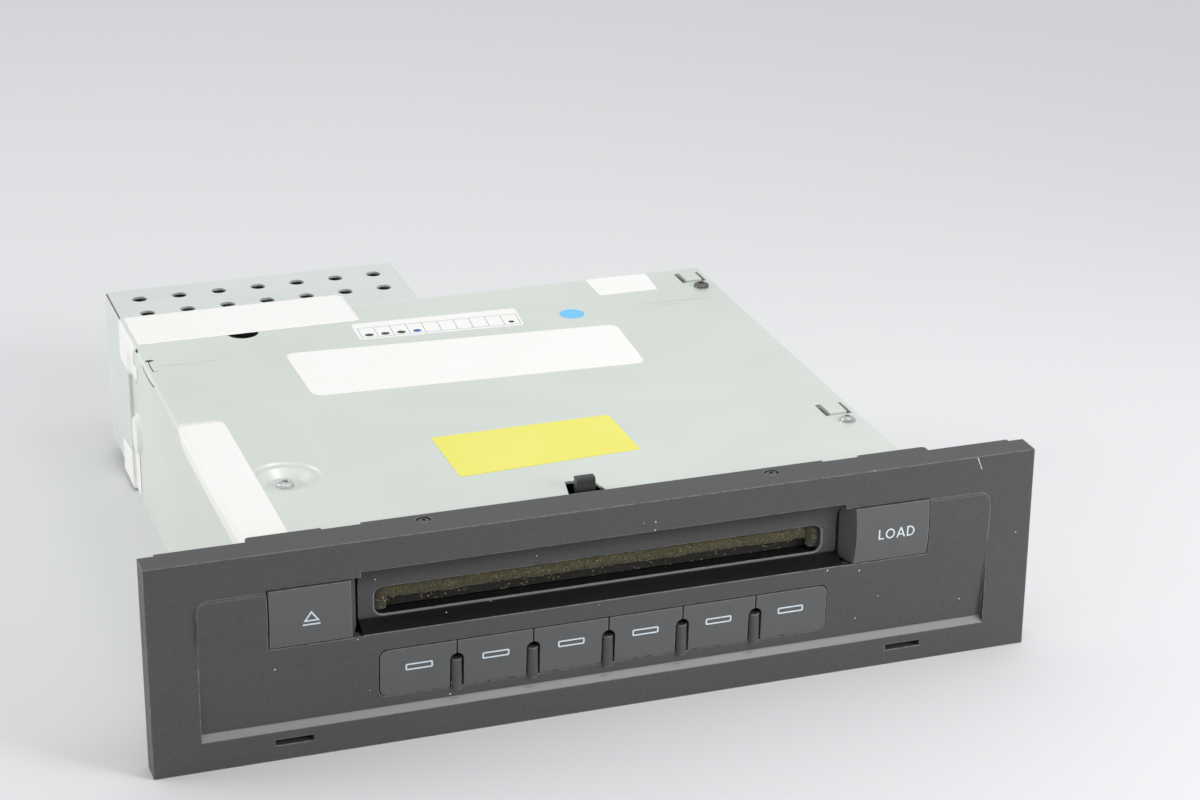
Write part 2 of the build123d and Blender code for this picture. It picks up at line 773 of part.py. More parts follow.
# ---------------------------------------------------------------- top cover
with BuildPart() as top_cover:
    with BuildSketch(facing(cover_front)):
        with Locations((0, case_top - cover_skirt / 2)):
            Rectangle(2 * case_half, cover_skirt)
    extrude(amount=-(case_rear - cover_front))
    fillet(top_cover.edges().filter_by(Axis.Y).group_by(Axis.Z)[-1], radius=cover_bend)
    with BuildSketch(facing(cover_front - 1)) as cover_inside:
        with Locations((0, chassis_top - cover_skirt / 2)):
            Rectangle(2 * (case_half - cover_sheet), cover_skirt)
        fillet(cover_inside.vertices().group_by(Axis.Y)[-1], radius=cover_bend - cover_sheet)
    extrude(amount=-(case_rear - cover_front + 2), mode=Mode.SUBTRACT)
    # wedge-shaped slot round the latch finger
    with BuildSketch(Plane.XY.offset(chassis_top - 1)):
        with BuildLine():
            slot_front = back(latch_front - latch_slot_margin)
            slot_back = back(latch_front - latch_slot_margin + latch_slot_length)
            half = latch_width / 2 + latch_slot_margin
            Polyline(
                (latch_x - half - 1.6, slot_front),
                (latch_x + half + 1.6, slot_front),
                (latch_x + half, slot_back),
                (latch_x - half, slot_back),
                close=True,
            )
        make_face()
    extrude(amount=3, mode=Mode.SUBTRACT)
    # screw holes, locating windows and the round hole at the rear left
    for lug_depth in (lug_front_depth, lug_rear_depth):
        with BuildSketch(Plane.XY.offset(chassis_top - 1)):
            with Locations((lug_x, back(lug_depth))):
                Circle(cover_screw_shank + 0.15)
            with Locations((lug_window_x, back(lug_depth + lug_window_ahead + lug_window / 2))):
                Rectangle(lug_window_width, lug_window)
        extrude(amount=3, mode=Mode.SUBTRACT)
    with BuildSketch(Plane.XY.offset(chassis_top - 1)):
        with Locations((seal_hole_x, back(seal_hole_depth))):
            Circle(seal_hole_radius)
        with Locations((dimple_x, back(dimple_depth))):
            Circle(dimple_radius)
    extrude(amount=3, mode=Mode.SUBTRACT)
    # dished screw seat
    dimple_plane = Plane(origin=(dimple_x, back(dimple_depth), 0), x_dir=(1, 0, 0), z_dir=(0, -1, 0))
    with BuildSketch(dimple_plane):
        with BuildLine():
            Polyline(
                (cover_screw_shank + 0.15, case_top - dimple_drop),
                (dimple_floor_radius, case_top - dimple_drop),
                (dimple_shelf_radius, case_top - dimple_shelf_drop),
                (dimple_radius - 0.5, case_top - dimple_shelf_drop + 0.2),
                (dimple_radius, case_top),
                (dimple_radius + 0.01, case_top),
                (dimple_radius + 0.01, chassis_top),
                (dimple_radius - 0.2, chassis_top - dimple_shelf_drop + 0.2),
                (dimple_shelf_radius + 0.3, chassis_top - dimple_shelf_drop),
                (dimple_floor_radius + 0.4, chassis_top - dimple_drop),
                (cover_screw_shank + 0.15, chassis_top - dimple_drop),
                close=True,
            )
        make_face()
    revolve(axis=Axis((dimple_x, back(dimple_depth), 0), (0, 0, 1)))
finish(top_cover, "top_cover")

# ---------------------------------------------------------------- rear cage
cage_front = case_rear + seam
cage_length = cage_rear - cage_front
cage_width = case_half + cage_inner_side
cage_middle = (cage_inner_side - case_half) / 2
with BuildPart() as rear_cage:
    with BuildSketch(facing(cage_front)) as cage_outside:
        with Locations((cage_middle, (case_top + cage_bottom) / 2)):
            Rectangle(cage_width, case_top - cage_bottom)
        fillet(cage_outside.vertices().group_by(Axis.Y)[-1], radius=cage_bend)
    extrude(amount=-cage_length)
    with BuildSketch(facing(cage_front - 1)) as cage_inside:
        with Locations((cage_middle, (case_top + cage_bottom) / 2)):
            Rectangle(cage_width - 2 * cover_sheet, case_top - cage_bottom - 2 * cover_sheet)
        fillet(cage_inside.vertices().group_by(Axis.Y)[-1], radius=cage_bend - cover_sheet)
    extrude(amount=-(cage_length - cover_sheet + 1), mode=Mode.SUBTRACT)
    # open floor between the two flanges
    with BuildSketch(Plane.XY.offset(cage_bottom - 1)):
        with Locations((cage_middle, back(cage_front + cage_length / 2))):
            Rectangle(cage_width - 2 * cage_flange, cage_length + 4)
    extrude(amount=cover_sheet + 1, mode=Mode.SUBTRACT)
    # perforated roof
    perforation_x = cage_hole_first_x + (cage_hole_columns - 1) / 2 * cage_hole_pitch_x
    perforation_depth = cage_hole_first_depth + (cage_hole_rows - 1) / 2 * cage_hole_pitch_y
    with BuildSketch(Plane.XY.offset(case_top - cover_sheet - 1)):
        with Locations((perforation_x, back(perforation_depth))):
            with GridLocations(cage_hole_pitch_x, cage_hole_pitch_y, cage_hole_columns, cage_hole_rows):
                Circle(cage_hole_radius)
    extrude(amount=cover_sheet + 2, mode=Mode.SUBTRACT)
    # window of the connector in the rear wall
    with BuildSketch(facing(cage_rear - cover_sheet - 1)):
        with Locations((connector_x, cage_bottom + cover_sheet + board + connector_height / 2)):
            Rectangle(connector_width + 0.6, connector_height + 0.6)
    extrude(amount=-(cover_sheet + 2), mode=Mode.SUBTRACT)
    # feet that screw to the rear wall of the chassis
    with BuildSketch(facing(cage_front)):
        with Locations((cage_middle, case_top - cover_sheet - 4)):
            Rectangle(cage_width - 2 * cover_sheet, 8)
    extrude(amount=-cover_sheet)
    with BuildSketch(facing(cage_front - 1)):
        with Locations((cage_middle, case_top - cage_screw_drop)):
            with GridLocations(cage_screw_pitch, 0, 2, 1):
                Circle(cover_screw_shank + 0.1)
    extrude(amount=-(cover_sheet + 2), mode=Mode.SUBTRACT)
finish(rear_cage, "rear_cage")

# ---------------------------------------------------------------- screws


def pan_screw(x, depth, z, length):
    """Pan-head screw standing upright, its head seated at a height."""
    with BuildSketch(Plane.XY.offset(z)) as head:
        with Locations((x, back(depth))):
            Circle(cover_screw_head)
    extrude(head.sketch, amount=cover_screw_height)
    with BuildSketch(Plane.XY.offset(z - length)) as shank:
        with Locations((x, back(depth))):
            Circle(cover_screw_shank)
    extrude(shank.sketch, amount=length)
    with BuildSketch(Plane.XY.offset(z + cover_screw_height - 0.7)) as cross:
        with Locations((x, back(depth))):
            Rectangle(3.2, 0.8)
            Rectangle(0.8, 3.2)
    extrude(cross.sketch, amount=1, mode=Mode.SUBTRACT)


with BuildPart() as cover_screws:
    pan_screw(lug_x, lug_front_depth, case_top, cover_screw_length)
    pan_screw(lug_x, lug_rear_depth, case_top, cover_screw_length)
finish(cover_screws, "cover_screws")

with BuildPart() as dimple_screw:
    pan_screw(dimple_x, dimple_depth, case_top - dimple_drop, cover_sheet + frame_sheet)
finish(dimple_screw, "dimple_screw")

with BuildPart() as panel_screws:
    with BuildSketch(Plane.XY.offset(panel_height - 0.9)):
        with Locations((0, back(panel_screw_depth))):
            with GridLocations(2 * panel_screw_at, 0, 2, 1):
                Circle(panel_screw_head)
    extrude(amount=panel_screw_head_height)
    with BuildSketch(Plane.XY.offset(panel_height - 0.9 - panel_screw_length)):
        with Locations((0, back(panel_screw_depth))):
            with GridLocations(2 * panel_screw_at, 0, 2, 1):
                Circle(panel_screw_shank)
    extrude(amount=panel_screw_length)
finish(panel_screws, "panel_screws")

with BuildPart() as cage_screws:
    with BuildSketch(facing(cage_front + cover_sheet)):
        with Locations((cage_middle, case_top - cage_screw_drop)):
            with GridLocations(cage_screw_pitch, 0, 2, 1):
                Circle(2.4)
    extrude(amount=-1.2)
    with BuildSketch(facing(case_rear)):
        with Locations((cage_middle, case_top - cage_screw_drop)):
            with GridLocations(cage_screw_pitch, 0, 2, 1):
                Circle(cover_screw_shank)
    extrude(amount=-(seam + cover_sheet))
finish(cage_screws, "cage_screws")

# ---------------------------------------------------------------- latch finger
with BuildPart() as latch_clip:
    arm_front = chassis_front + sheet
    with BuildSketch(Plane.YZ.offset(latch_x)):
        with BuildLine():
            Polyline(
                (back(arm_front), latch_arm_bottom),
                (back(latch_front + latch_thickness), latch_arm_bottom),
                (back(latch_front + latch_thickness), latch_top),
                (back(latch_front + 0.5), latch_top),
                (back(latch_front), latch_top - 0.6),
                (back(latch_front), latch_arm_bottom + latch_arm_height),
                (back(arm_front), latch_arm_bottom + latch_arm_height),
                close=True,
            )
        make_face()
    extrude(amount=latch_width / 2, both=True)
    # flange that glues the finger to the front wall
    with BuildSketch(facing(arm_front)):
        with Locations((latch_x, latch_arm_bottom + 0.8)):
            Rectangle(16, 3.6)
    extrude(amount=-1.2)
finish(latch_clip, "latch_clip")

# ---------------------------------------------------------------- mechanism frame
roller_reach = feed_gear_x + gear_width
idler_depth, idler_z = (
    roller_depth + polar(pitch_radius(roller_teeth) + pitch_radius(idler_teeth), idler_angle)[0],
    roller_z + polar(pitch_radius(roller_teeth) + pitch_radius(idler_teeth), idler_angle)[1],
)
pinion_depth, pinion_z = (
    idler_depth + polar(pitch_radius(idler_teeth) + pitch_radius(pinion_teeth), pinion_angle)[0],
    idler_z + polar(pitch_radius(idler_teeth) + pitch_radius(pinion_teeth), pinion_angle)[1],
)
lift_depth, lift_z = (
    sync_depth + polar(pitch_radius(sync_teeth) + pitch_radius(lift_teeth), lift_angle)[0],
    sync_z + polar(pitch_radius(sync_teeth) + pitch_radius(lift_teeth), lift_angle)[1],
)
frame_top = frame_base + frame_sheet

with BuildPart() as mech_frame:
    with BuildSketch(Plane.XY.offset(frame_base)):
        with Locations((0, back((frame_front + frame_rear) / 2))):
            Rectangle(2 * frame_half, frame_rear - frame_front)
        with Locations((38, back(disc_depth - 20))):
            SlotOverall(50, 22, mode=Mode.SUBTRACT)
    extrude(amount=frame_sheet)
    # uprights on both sides
    with BuildSketch(Plane.YZ.offset(upright_x)) as upright_outline:
        with BuildLine():
            Polyline(
                (back(frame_front), frame_top),
                (back(frame_front), guide_pivot_z + 2.4),
                (back(guide_pivot_depth + 3), guide_pivot_z + 2.4),
                (back(guide_pin_front - 6), upright_top),
                (back(clamp_shaft_depth - 6), upright_top),
                (back(clamp_shaft_depth - 3), clamp_shaft_z + 1.8),
                (back(clamp_shaft_depth + 3), clamp_shaft_z + 1.8),
                (back(upright_rear), upright_top - 4),
                (back(upright_rear), frame_top),
                close=True,
            )
        make_face()
        # vertical slots for the pins of the disc store
        with Locations(
            (back(store_pin_front), store_pin_z + store_travel / 2),
            (back(store_pin_rear), store_pin_z + store_travel / 2),
        ):
            SlotOverall(
                store_travel + 2 * (store_pin_radius + cam_clearance),
                2 * (store_pin_radius + cam_clearance),
                rotation=90,
                mode=Mode.SUBTRACT,
            )
        with Locations((back(roller_depth), roller_z)):
            Circle(roller_shaft_radius + running, mode=Mode.SUBTRACT)
        with Locations((back(guide_pivot_depth), guide_pivot_z)):
            Circle(guide_pivot_radius + running, mode=Mode.SUBTRACT)
        with Locations((back(clamp_shaft_depth), clamp_shaft_z)):
            Circle(clamp_shaft_radius + running, mode=Mode.SUBTRACT)
        with Locations((back(sync_depth), sync_z)):
            Circle(sync_shaft_radius + running, mode=Mode.SUBTRACT)
        with Locations((back(pinion_depth), pinion_z)):
            Circle(motor_shaft_radius + motor_shaft_play, mode=Mode.SUBTRACT)
        with Locations((back(sync_depth + upright_window_behind), upright_window_z)):
            Rectangle(upright_window_width, upright_window_height, mode=Mode.SUBTRACT)
    extrude(amount=frame_sheet)
    mirror(about=Plane.YZ)
    # guide pins of the cam slides
    with BuildSketch(Plane.YZ.offset(cam_x - 0.6)):
        with Locations((back(guide_pin_front), guide_pin_z), (back(guide_pin_rear), guide_pin_z)):
            Circle(guide_pin_radius)
    extrude(amount=upright_x - cam_x + 0.7)
    with BuildSketch(Plane.YZ.offset(-cam_x + 0.6)):
        with Locations((back(guide_pin_front), guide_pin_z), (back(guide_pin_rear), guide_pin_z)):
            Circle(guide_pin_radius)
    extrude(amount=-(upright_x - cam_x + 0.7))
    # pivot of the idler, on the outside of the right upright
    with BuildSketch(Plane.YZ.offset(upright_x + frame_sheet)):
        with Locations((back(idler_depth), idler_z)):
            Circle(roller_shaft_radius)
    extrude(amount=feed_gear_x + gear_width - upright_x - frame_sheet)
    # pivot post of the player
    with BuildSketch(Plane.XY.offset(frame_top)):
        with Locations((arm_pivot_x, back(arm_pivot_depth))):
            Circle(arm_pivot_radius)
    extrude(amount=arm_plate_z + arm_hub_height + arm_plate - frame_top)
    # ear under the dished screw seat
    with BuildSketch(Plane.YZ.offset(-upright_x - frame_sheet)):
        with Locations((back(dimple_depth), (upright_top - 1 + case_top - dimple_drop - cover_sheet) / 2)):
            Rectangle(12, case_top - dimple_drop - cover_sheet - upright_top + 1)
    extrude(amount=frame_sheet)
    with BuildSketch(Plane.XY.offset(case_top - dimple_drop - cover_sheet - 1.0)):
        with Locations((-(upright_x + frame_sheet + 67.4) / 2, back(dimple_depth))):
            Rectangle(upright_x + frame_sheet - 67.4, 12)
        with Locations((dimple_x, back(dimple_depth))):
            Circle(cover_screw_shank + 0.05, mode=Mode.SUBTRACT)
    extrude(amount=1.0)
    # seats of the two side motors
    with BuildSketch(Plane.YZ.offset(upright_x - 1.0)):
        with Locations((back(pinion_depth), pinion_z)):
            Circle(motor_radius)
            Circle(motor_shaft_radius + motor_shaft_play, mode=Mode.SUBTRACT)
    extrude(amount=1.0)
    with BuildSketch(Plane.XY.offset(frame_top)):
        with Locations((cam_x - gear_width / 2 - motor_length / 2 - 2.5, back(lift_depth))):
            Rectangle(motor_length - 4, 9)
    extrude(amount=lift_z - motor_radius - frame_top + 0.6)
    with BuildSketch(Plane.YZ.offset(cam_x - gear_width / 2 - motor_length - 4)):
        with Locations((back(lift_depth), lift_z)):
            Circle(motor_radius + 0.02)
    extrude(amount=motor_length + 3, mode=Mode.SUBTRACT)
finish(mech_frame, "mech_frame")

with BuildPart() as dampers:
    with BuildSketch(Plane.XY.offset(sheet)):
        with Locations((0, back((damper_front + damper_rear) / 2))):
            with GridLocations(2 * damper_at_x, damper_rear - damper_front, 2, 2):
                Circle(damper_radius)
                Circle(1.6, mode=Mode.SUBTRACT)
    extrude(amount=frame_base - sheet)
finish(dampers, "dampers")

# ---------------------------------------------------------------- feed roller and its gears
roller_phase = idler_angle
idler_phase = meshing_phase(roller_teeth, roller_phase, idler_angle, idler_teeth)
pinion_phase = meshing_phase(idler_teeth, idler_phase, pinion_angle, pinion_teeth)
roller_axis = Axis((0, back(roller_depth), roller_z), (1, 0, 0))

with BuildPart() as roller_shaft:
    with BuildSketch(Plane.YZ.offset(-upright_x - frame_sheet - 1)):
        with Locations((back(roller_depth), roller_z)):
            Circle(roller_shaft_radius)
    extrude(amount=upright_x + frame_sheet + 1 + roller_reach)
finish(roller_shaft, "roller_shaft")

with BuildPart() as feed_roller:
    with BuildSketch(Plane(origin=(0, back(roller_depth), roller_z), x_dir=(1, 0, 0), z_dir=(0, -1, 0))):
        for side in (-1, 1):
            with BuildLine():
                Polyline(
                    (side * roller_waist, roller_shaft_radius),
                    (side * roller_half, roller_shaft_radius),
                    (side * roller_half, roller_radius_end),
                    (side * roller_waist, roller_radius_mid),
                    close=True,
                )
            make_face()
    revolve(axis=roller_axis)
finish(feed_roller, "feed_roller")


def spur(teeth, phase, depth, z, x, bore):
    """Spur gear on an axis along X, starting at an X position."""
    gear_plane = Plane(origin=(x, back(depth), z), x_dir=(0, 1, 0), z_dir=(1, 0, 0))
    with BuildSketch(gear_plane) as profile:
        gear_outline(teeth, phase)
        Circle(bore, mode=Mode.SUBTRACT)
    extrude(profile.sketch, amount=gear_width)


with BuildPart() as roller_gear:
    spur(roller_teeth, roller_phase, roller_depth, roller_z, feed_gear_x, roller_shaft_radius)
finish(roller_gear, "roller_gear")

with BuildPart() as idler_gear:
    spur(idler_teeth, idler_phase, idler_depth, idler_z, feed_gear_x, roller_shaft_radius + running)
finish(idler_gear, "idler_gear")

with BuildPart() as feed_pinion:
    spur(pinion_teeth, pinion_phase, pinion_depth, pinion_z, feed_gear_x, motor_shaft_radius)
    with BuildSketch(Plane.YZ.offset(upright_x - 1.0 - motor_bore_depth + 1)):
        with Locations((back(pinion_depth), pinion_z)):
            Circle(motor_shaft_radius)
    extrude(amount=feed_gear_x + gear_width - upright_x + motor_bore_depth)
finish(feed_pinion, "feed_pinion")

with BuildPart() as feed_motor:
    with BuildSketch(Plane.YZ.offset(upright_x - 1.0 - motor_length)):
        with Locations((back(pinion_depth), pinion_z)):
            Circle(motor_radius)
    extrude(amount=motor_length)
    chamfer(feed_motor.edges().group_by(Axis.X)[0], length=0.8)
    with BuildSketch(Plane.YZ.offset(upright_x - 1.0 - motor_length)):
        with Locations((back(pinion_depth), pinion_z)):
            Circle(2.2)
    extrude(amount=-1.2)
    with BuildSketch(Plane.YZ.offset(upright_x - 1.0 - motor_bore_depth)):
        with Locations((back(pinion_depth), pinion_z)):
            Circle(motor_shaft_radius + motor_shaft_play)
    extrude(amount=motor_bore_depth + 1, mode=Mode.SUBTRACT)
finish(feed_motor, "feed_motor")

with BuildPart() as disc_guide:
    with BuildSketch(Plane.YZ):
        with BuildLine():
            Polyline(
                (back(guide_plate_front), guide_plate_z + 1.4),
                (back(guide_plate_front + 3), guide_plate_z),
                (back(guide_plate_rear), guide_plate_z),
                (back(guide_plate_rear), guide_plate_z + guide_plate_thickness),
                (back(guide_plate_front), guide_plate_z + guide_plate_thickness + 1.4),
                close=True,
            )
        make_face()
    extrude(amount=guide_plate_half, both=True)
    with BuildSketch(Plane.YZ.offset(guide_plate_half - 1.6)):
        with Locations((back(guide_pivot_depth), guide_pivot_z)):
            Circle(2.2)
    extrude(amount=1.6)
    with BuildSketch(Plane.YZ.offset(-guide_plate_half)):
        with Locations((back(guide_pivot_depth), guide_pivot_z)):
            Circle(2.2)
    extrude(amount=1.6)
    with BuildSketch(Plane.YZ.offset(guide_plate_half)):
        with Locations((back(guide_pivot_depth), guide_pivot_z)):
            Circle(guide_pivot_radius)
    extrude(amount=upright_x + frame_sheet - guide_plate_half)
    with BuildSketch(Plane.YZ.offset(-guide_plate_half)):
        with Locations((back(guide_pivot_depth), guide_pivot_z)):
            Circle(guide_pivot_radius)
    extrude(amount=-(upright_x + frame_sheet - guide_plate_half))
finish(disc_guide, "disc_guide")

# ---------------------------------------------------------------- disc store
store_bottom = store_low - store_floor
store_height = store_floor + store_travel + tray_thickness + 1.2
store_front = disc_depth - store_wall_length / 2
store_rear = disc_depth + store_wall_length / 2
with BuildPart() as store_frame:
    with BuildSketch(Plane.XY.offset(store_bottom)):
        with Locations((0, back((store_front + store_bar_depth) / 2))):
            with GridLocations(2 * store_wall_inner + store_wall, 0, 2, 1):
                Rectangle(store_wall, store_bar_depth - store_front)
    extrude(amount=store_bar_height)
    with BuildSketch(Plane.XY.offset(store_bottom)):
        with Locations((0, back(disc_depth))):
            with GridLocations(2 * store_wall_inner + store_wall, 0, 2, 1):
                Rectangle(store_wall, store_wall_length)
    extrude(amount=store_height)
    with BuildSketch(Plane.XY.offset(store_bottom)):
        with Locations((0, back(store_bar_depth + store_bar_thickness / 2))):
            Rectangle(2 * (store_wall_inner + store_wall), store_bar_thickness)
    extrude(amount=store_bar_height)
    # comb of grooves that the tray ears slide in
    for level in range(tray_count):
        with BuildSketch(Plane.XY.offset(store_low + level * tray_pitch)):
            with Locations((0, back(disc_depth))):
                Rectangle(2 * (store_wall_inner + groove_depth), store_wall_length + 2)
        extrude(amount=tray_thickness + groove_play, mode=Mode.SUBTRACT)
    # pins that ride in the cam slides
    for pin_depth in (store_pin_front, store_pin_rear):
        for side in (-1, 1):
            with BuildSketch(Plane.YZ.offset(side * (store_wall_inner + store_wall - 0.5))):
                with Locations((back(pin_depth), store_pin_z)):
                    Circle(store_pin_radius)
            extrude(amount=side * (store_pin_reach - store_wall_inner - store_wall + 0.5))
finish(store_frame, "store_frame")

for level in range(tray_count):
    with BuildPart() as disc_tray:
        with BuildSketch(Plane.XY.offset(store_low + level * tray_pitch)):
            with Locations((0, back(disc_depth))):
                Circle(tray_radius)
                Rectangle(2 * tray_ear_reach, 2 * tray_ear_half)
                Circle(tray_bore, mode=Mode.SUBTRACT)
            with Locations((-tray_window_end / 2, back(disc_depth))):
                Rectangle(tray_window_end, 2 * tray_window_half, mode=Mode.SUBTRACT)
        extrude(amount=tray_thickness)
    finish(disc_tray, f"disc_tray_{level + 1}")

# ---------------------------------------------------------------- cam slides
rack_pitch = pi * gear_module
rack_line = sync_z + pitch_radius(sync_teeth)
rack_root = rack_line + 1.15 * gear_module
rack_teeth = int(cam_travel / rack_pitch) + 4
cam_slope = store_travel / cam_travel
for side, cam_name in ((-1, "cam_slide_left"), (1, "cam_slide_right")):
    with BuildPart() as cam_slide:
        with BuildSketch(Plane.YZ.offset(side * cam_x)):
            with Locations((back((cam_front + cam_rear) / 2), (rack_root + cam_top) / 2)):
                Rectangle(cam_rear - cam_front, cam_top - rack_root)
            # rack along the lower edge
            for tooth in range(rack_teeth):
                tooth_middle = back(sync_depth + (tooth - 1.5) * rack_pitch)
                with BuildLine():
                    Polyline(
                        (tooth_middle - 0.30 * rack_pitch, rack_root + 0.1),
                        (tooth_middle - 0.11 * rack_pitch, rack_line - 0.8 * gear_module),
                        (tooth_middle + 0.11 * rack_pitch, rack_line - 0.8 * gear_module),
                        (tooth_middle + 0.30 * rack_pitch, rack_root + 0.1),
                        close=True,
                    )
                make_face()
            # sloping slots that lift the store, and level slots on the guide pins
            for pin_depth in (store_pin_front, store_pin_rear):
                with Locations((back(pin_depth + cam_travel / 2), store_pin_z + store_travel / 2)):
                    SlotCenterToCenter(
                        hypot(cam_travel, store_travel),
                        2 * (store_pin_radius + cam_clearance),
                        rotation=degrees(atan2(store_travel, cam_travel)),
                        mode=Mode.SUBTRACT,
                    )
            for pin_depth in (guide_pin_front, guide_pin_rear):
                with Locations((back(pin_depth + cam_travel / 2), guide_pin_z)):
                    SlotCenterToCenter(
                        cam_travel + 0.2, 2 * (guide_pin_radius + cam_clearance / 2), mode=Mode.SUBTRACT,
                    )
        extrude(amount=side * cam_thickness)
    finish(cam_slide, cam_name)

# shaft with a gear at each end that keeps both slides in step
sync_phase = 90.0
with BuildPart() as sync_shaft:
    with BuildSketch(Plane.YZ.offset(-upright_x - frame_sheet - 0.8)):
        with Locations((back(sync_depth), sync_z)):
            Circle(sync_shaft_radius)
    extrude(amount=2 * (upright_x + frame_sheet + 0.8))
finish(sync_shaft, "sync_shaft")

sync_gear_x = cam_x + cam_thickness / 2 - gear_width / 2
with BuildPart() as sync_gears:
    spur(sync_teeth, sync_phase, sync_depth, sync_z, sync_gear_x, sync_shaft_radius)
    spur(sync_teeth, sync_phase, sync_depth, sync_z, -sync_gear_x - gear_width, sync_shaft_radius)
finish(sync_gears, "sync_gears")

lift_phase = meshing_phase(sync_teeth, sync_phase, lift_angle, lift_teeth)
with BuildPart() as lift_pinion:
    spur(lift_teeth, lift_phase, lift_depth, lift_z, sync_gear_x, motor_shaft_radius)
    with BuildSketch(Plane.YZ.offset(sync_gear_x - 1.3 - motor_bore_depth + 1)):
        with Locations((back(lift_depth), lift_z)):
            Circle(motor_shaft_radius)
    extrude(amount=gear_width + 0.3 + motor_bore_depth)
finish(lift_pinion, "lift_pinion")

with BuildPart() as lift_motor:
    with BuildSketch(Plane.YZ.offset(sync_gear_x - 1.3 - motor_length)):
        with Locations((back(lift_depth), lift_z)):
            Circle(motor_radius)
    extrude(amount=motor_length)
    chamfer(lift_motor.edges().group_by(Axis.X)[0], length=0.8)
    with BuildSketch(Plane.YZ.offset(sync_gear_x - 1.3 - motor_bore_depth)):
        with Locations((back(lift_depth), lift_z)):
            Circle(motor_shaft_radius + motor_shaft_play)
    extrude(amount=motor_bore_depth + 1, mode=Mode.SUBTRACT)
finish(lift_motor, "lift_motor")

# ---------------------------------------------------------------- player
arm_top = arm_plate_z + arm_plate
with BuildPart() as play_arm:
    with BuildSketch(Plane.XY.offset(arm_plate_z)):
        with Locations(((arm_left + arm_right) / 2, back(disc_depth + 3))):
            Rectangle(arm_right - arm_left, 2 * arm_half)
        with Locations((arm_pivot_x, back((disc_depth + arm_pivot_depth) / 2))):
            Rectangle(2 * arm_hub_radius, arm_pivot_depth - disc_depth)
        with Locations((arm_pivot_x, back(arm_pivot_depth))):
            Circle(arm_hub_radius)
        with Locations(((arm_left + sled_right) / 2, back(disc_depth))):
            Rectangle(34, 14, mode=Mode.SUBTRACT)
    extrude(amount=arm_plate)
    with BuildSketch(Plane.XY.offset(arm_top)):
        with Locations((arm_pivot_x, back(arm_pivot_depth))):
            Circle(arm_hub_radius)
    extrude(amount=arm_hub_height)
    # ears that hold the rods and the lead screw
    for ear_x in (rod_left, rod_right - rod_ear):
        with BuildSketch(Plane.YZ.offset(ear_x)):
            with Locations(
                (back(disc_depth - rod_offset), (arm_top + rod_z + 2.4) / 2),
                (back(disc_depth + rod_offset), (arm_top + rod_z + 2.4) / 2),
            ):
                Rectangle(5.2, rod_z + 2.4 - arm_top)
            with Locations((back(disc_depth + screw_offset), (arm_top + rod_z + 2.4) / 2)):
                Rectangle(5.4, rod_z + 2.4 - arm_top)
            with Locations(
                (back(disc_depth - rod_offset), rod_z),
                (back(disc_depth + rod_offset), rod_z),
                (back(disc_depth + screw_offset), rod_z),
            ):
                Circle(rod_radius + running, mode=Mode.SUBTRACT)
        extrude(amount=rod_ear)
    with BuildSketch(Plane.XY.offset(arm_plate_z - 1)):
        with Locations((arm_pivot_x, back(arm_pivot_depth))):
            Circle(arm_pivot_radius + running)
    extrude(amount=arm_plate + arm_hub_height + 2, mode=Mode.SUBTRACT)
finish(play_arm, "play_arm")

with BuildPart() as spindle_motor:
    with BuildSketch(Plane.XY.offset(arm_top)):
        with Locations((0, back(disc_depth))):
            Circle(spindle_motor_radius)
    extrude(amount=spindle_motor_height)
    chamfer(spindle_motor.edges().group_by(Axis.Z)[-1], length=0.7)
    with BuildSketch(Plane.XY.offset(arm_top + 1)):
        with Locations((0, back(disc_depth))):
            Circle(motor_shaft_radius + motor_shaft_play)
    extrude(amount=spindle_motor_height, mode=Mode.SUBTRACT)
finish(spindle_motor, "spindle_motor")

with BuildPart() as turntable:
    turntable_plane = Plane(origin=(0, back(disc_depth), 0), x_dir=(1, 0, 0), z_dir=(0, -1, 0))
    with BuildSketch(turntable_plane):
        with BuildLine():
            Polyline(
                (0, arm_top + 1.5),
                (motor_shaft_radius, arm_top + 1.5),
                (motor_shaft_radius, arm_top + spindle_motor_height + 0.3),
                (3.0, arm_top + spindle_motor_height + 0.3),
                (3.0, turntable_z),
                (turntable_radius, turntable_z),
                (turntable_radius, turntable_z + 1.2),
                (7.4, turntable_z + 1.2),
                (6.6, turntable_top),
                (0, turntable_top),
                close=True,
            )
        make_face()
    revolve(axis=Axis((0, back(disc_depth), 0), (0, 0, 1)))
finish(turntable, "turntable")

with BuildPart() as guide_rods:
    with BuildSketch(Plane.YZ.offset(rod_left)):
        with Locations((back(disc_depth - rod_offset), rod_z), (back(disc_depth + rod_offset), rod_z)):
            Circle(rod_radius)
    extrude(amount=rod_right - rod_left)
finish(guide_rods, "guide_rods")

with BuildPart() as pickup_sled:
    sled_middle = sled_right - sled_length / 2
    with BuildSketch(Plane.XY.offset(sled_bottom)):
        with Locations((sled_middle, back(disc_depth))):
            Rectangle(sled_length, 2 * (rod_offset + 2.2))
        with Locations((sled_middle, back(disc_depth + screw_offset))):
            Rectangle(6.0, 6.4)
    extrude(amount=sled_height)
    with BuildSketch(Plane.XY.offset(sled_bottom + sled_height - 2.0)):
        with Locations((sled_middle, back(disc_depth))):
            RectangleRounded(11, 12, 1.5)
    extrude(amount=3, mode=Mode.SUBTRACT)
    with BuildSketch(Plane.YZ.offset(sled_right - sled_length - 1)):
        with Locations((back(disc_depth - rod_offset), rod_z), (back(disc_depth + rod_offset), rod_z)):
            Circle(rod_radius + running)
        with Locations((back(disc_depth + screw_offset), rod_z)):
            Circle(rod_radius + 0.3)
    extrude(amount=sled_length + 2, mode=Mode.SUBTRACT)
finish(pickup_sled, "pickup_sled")

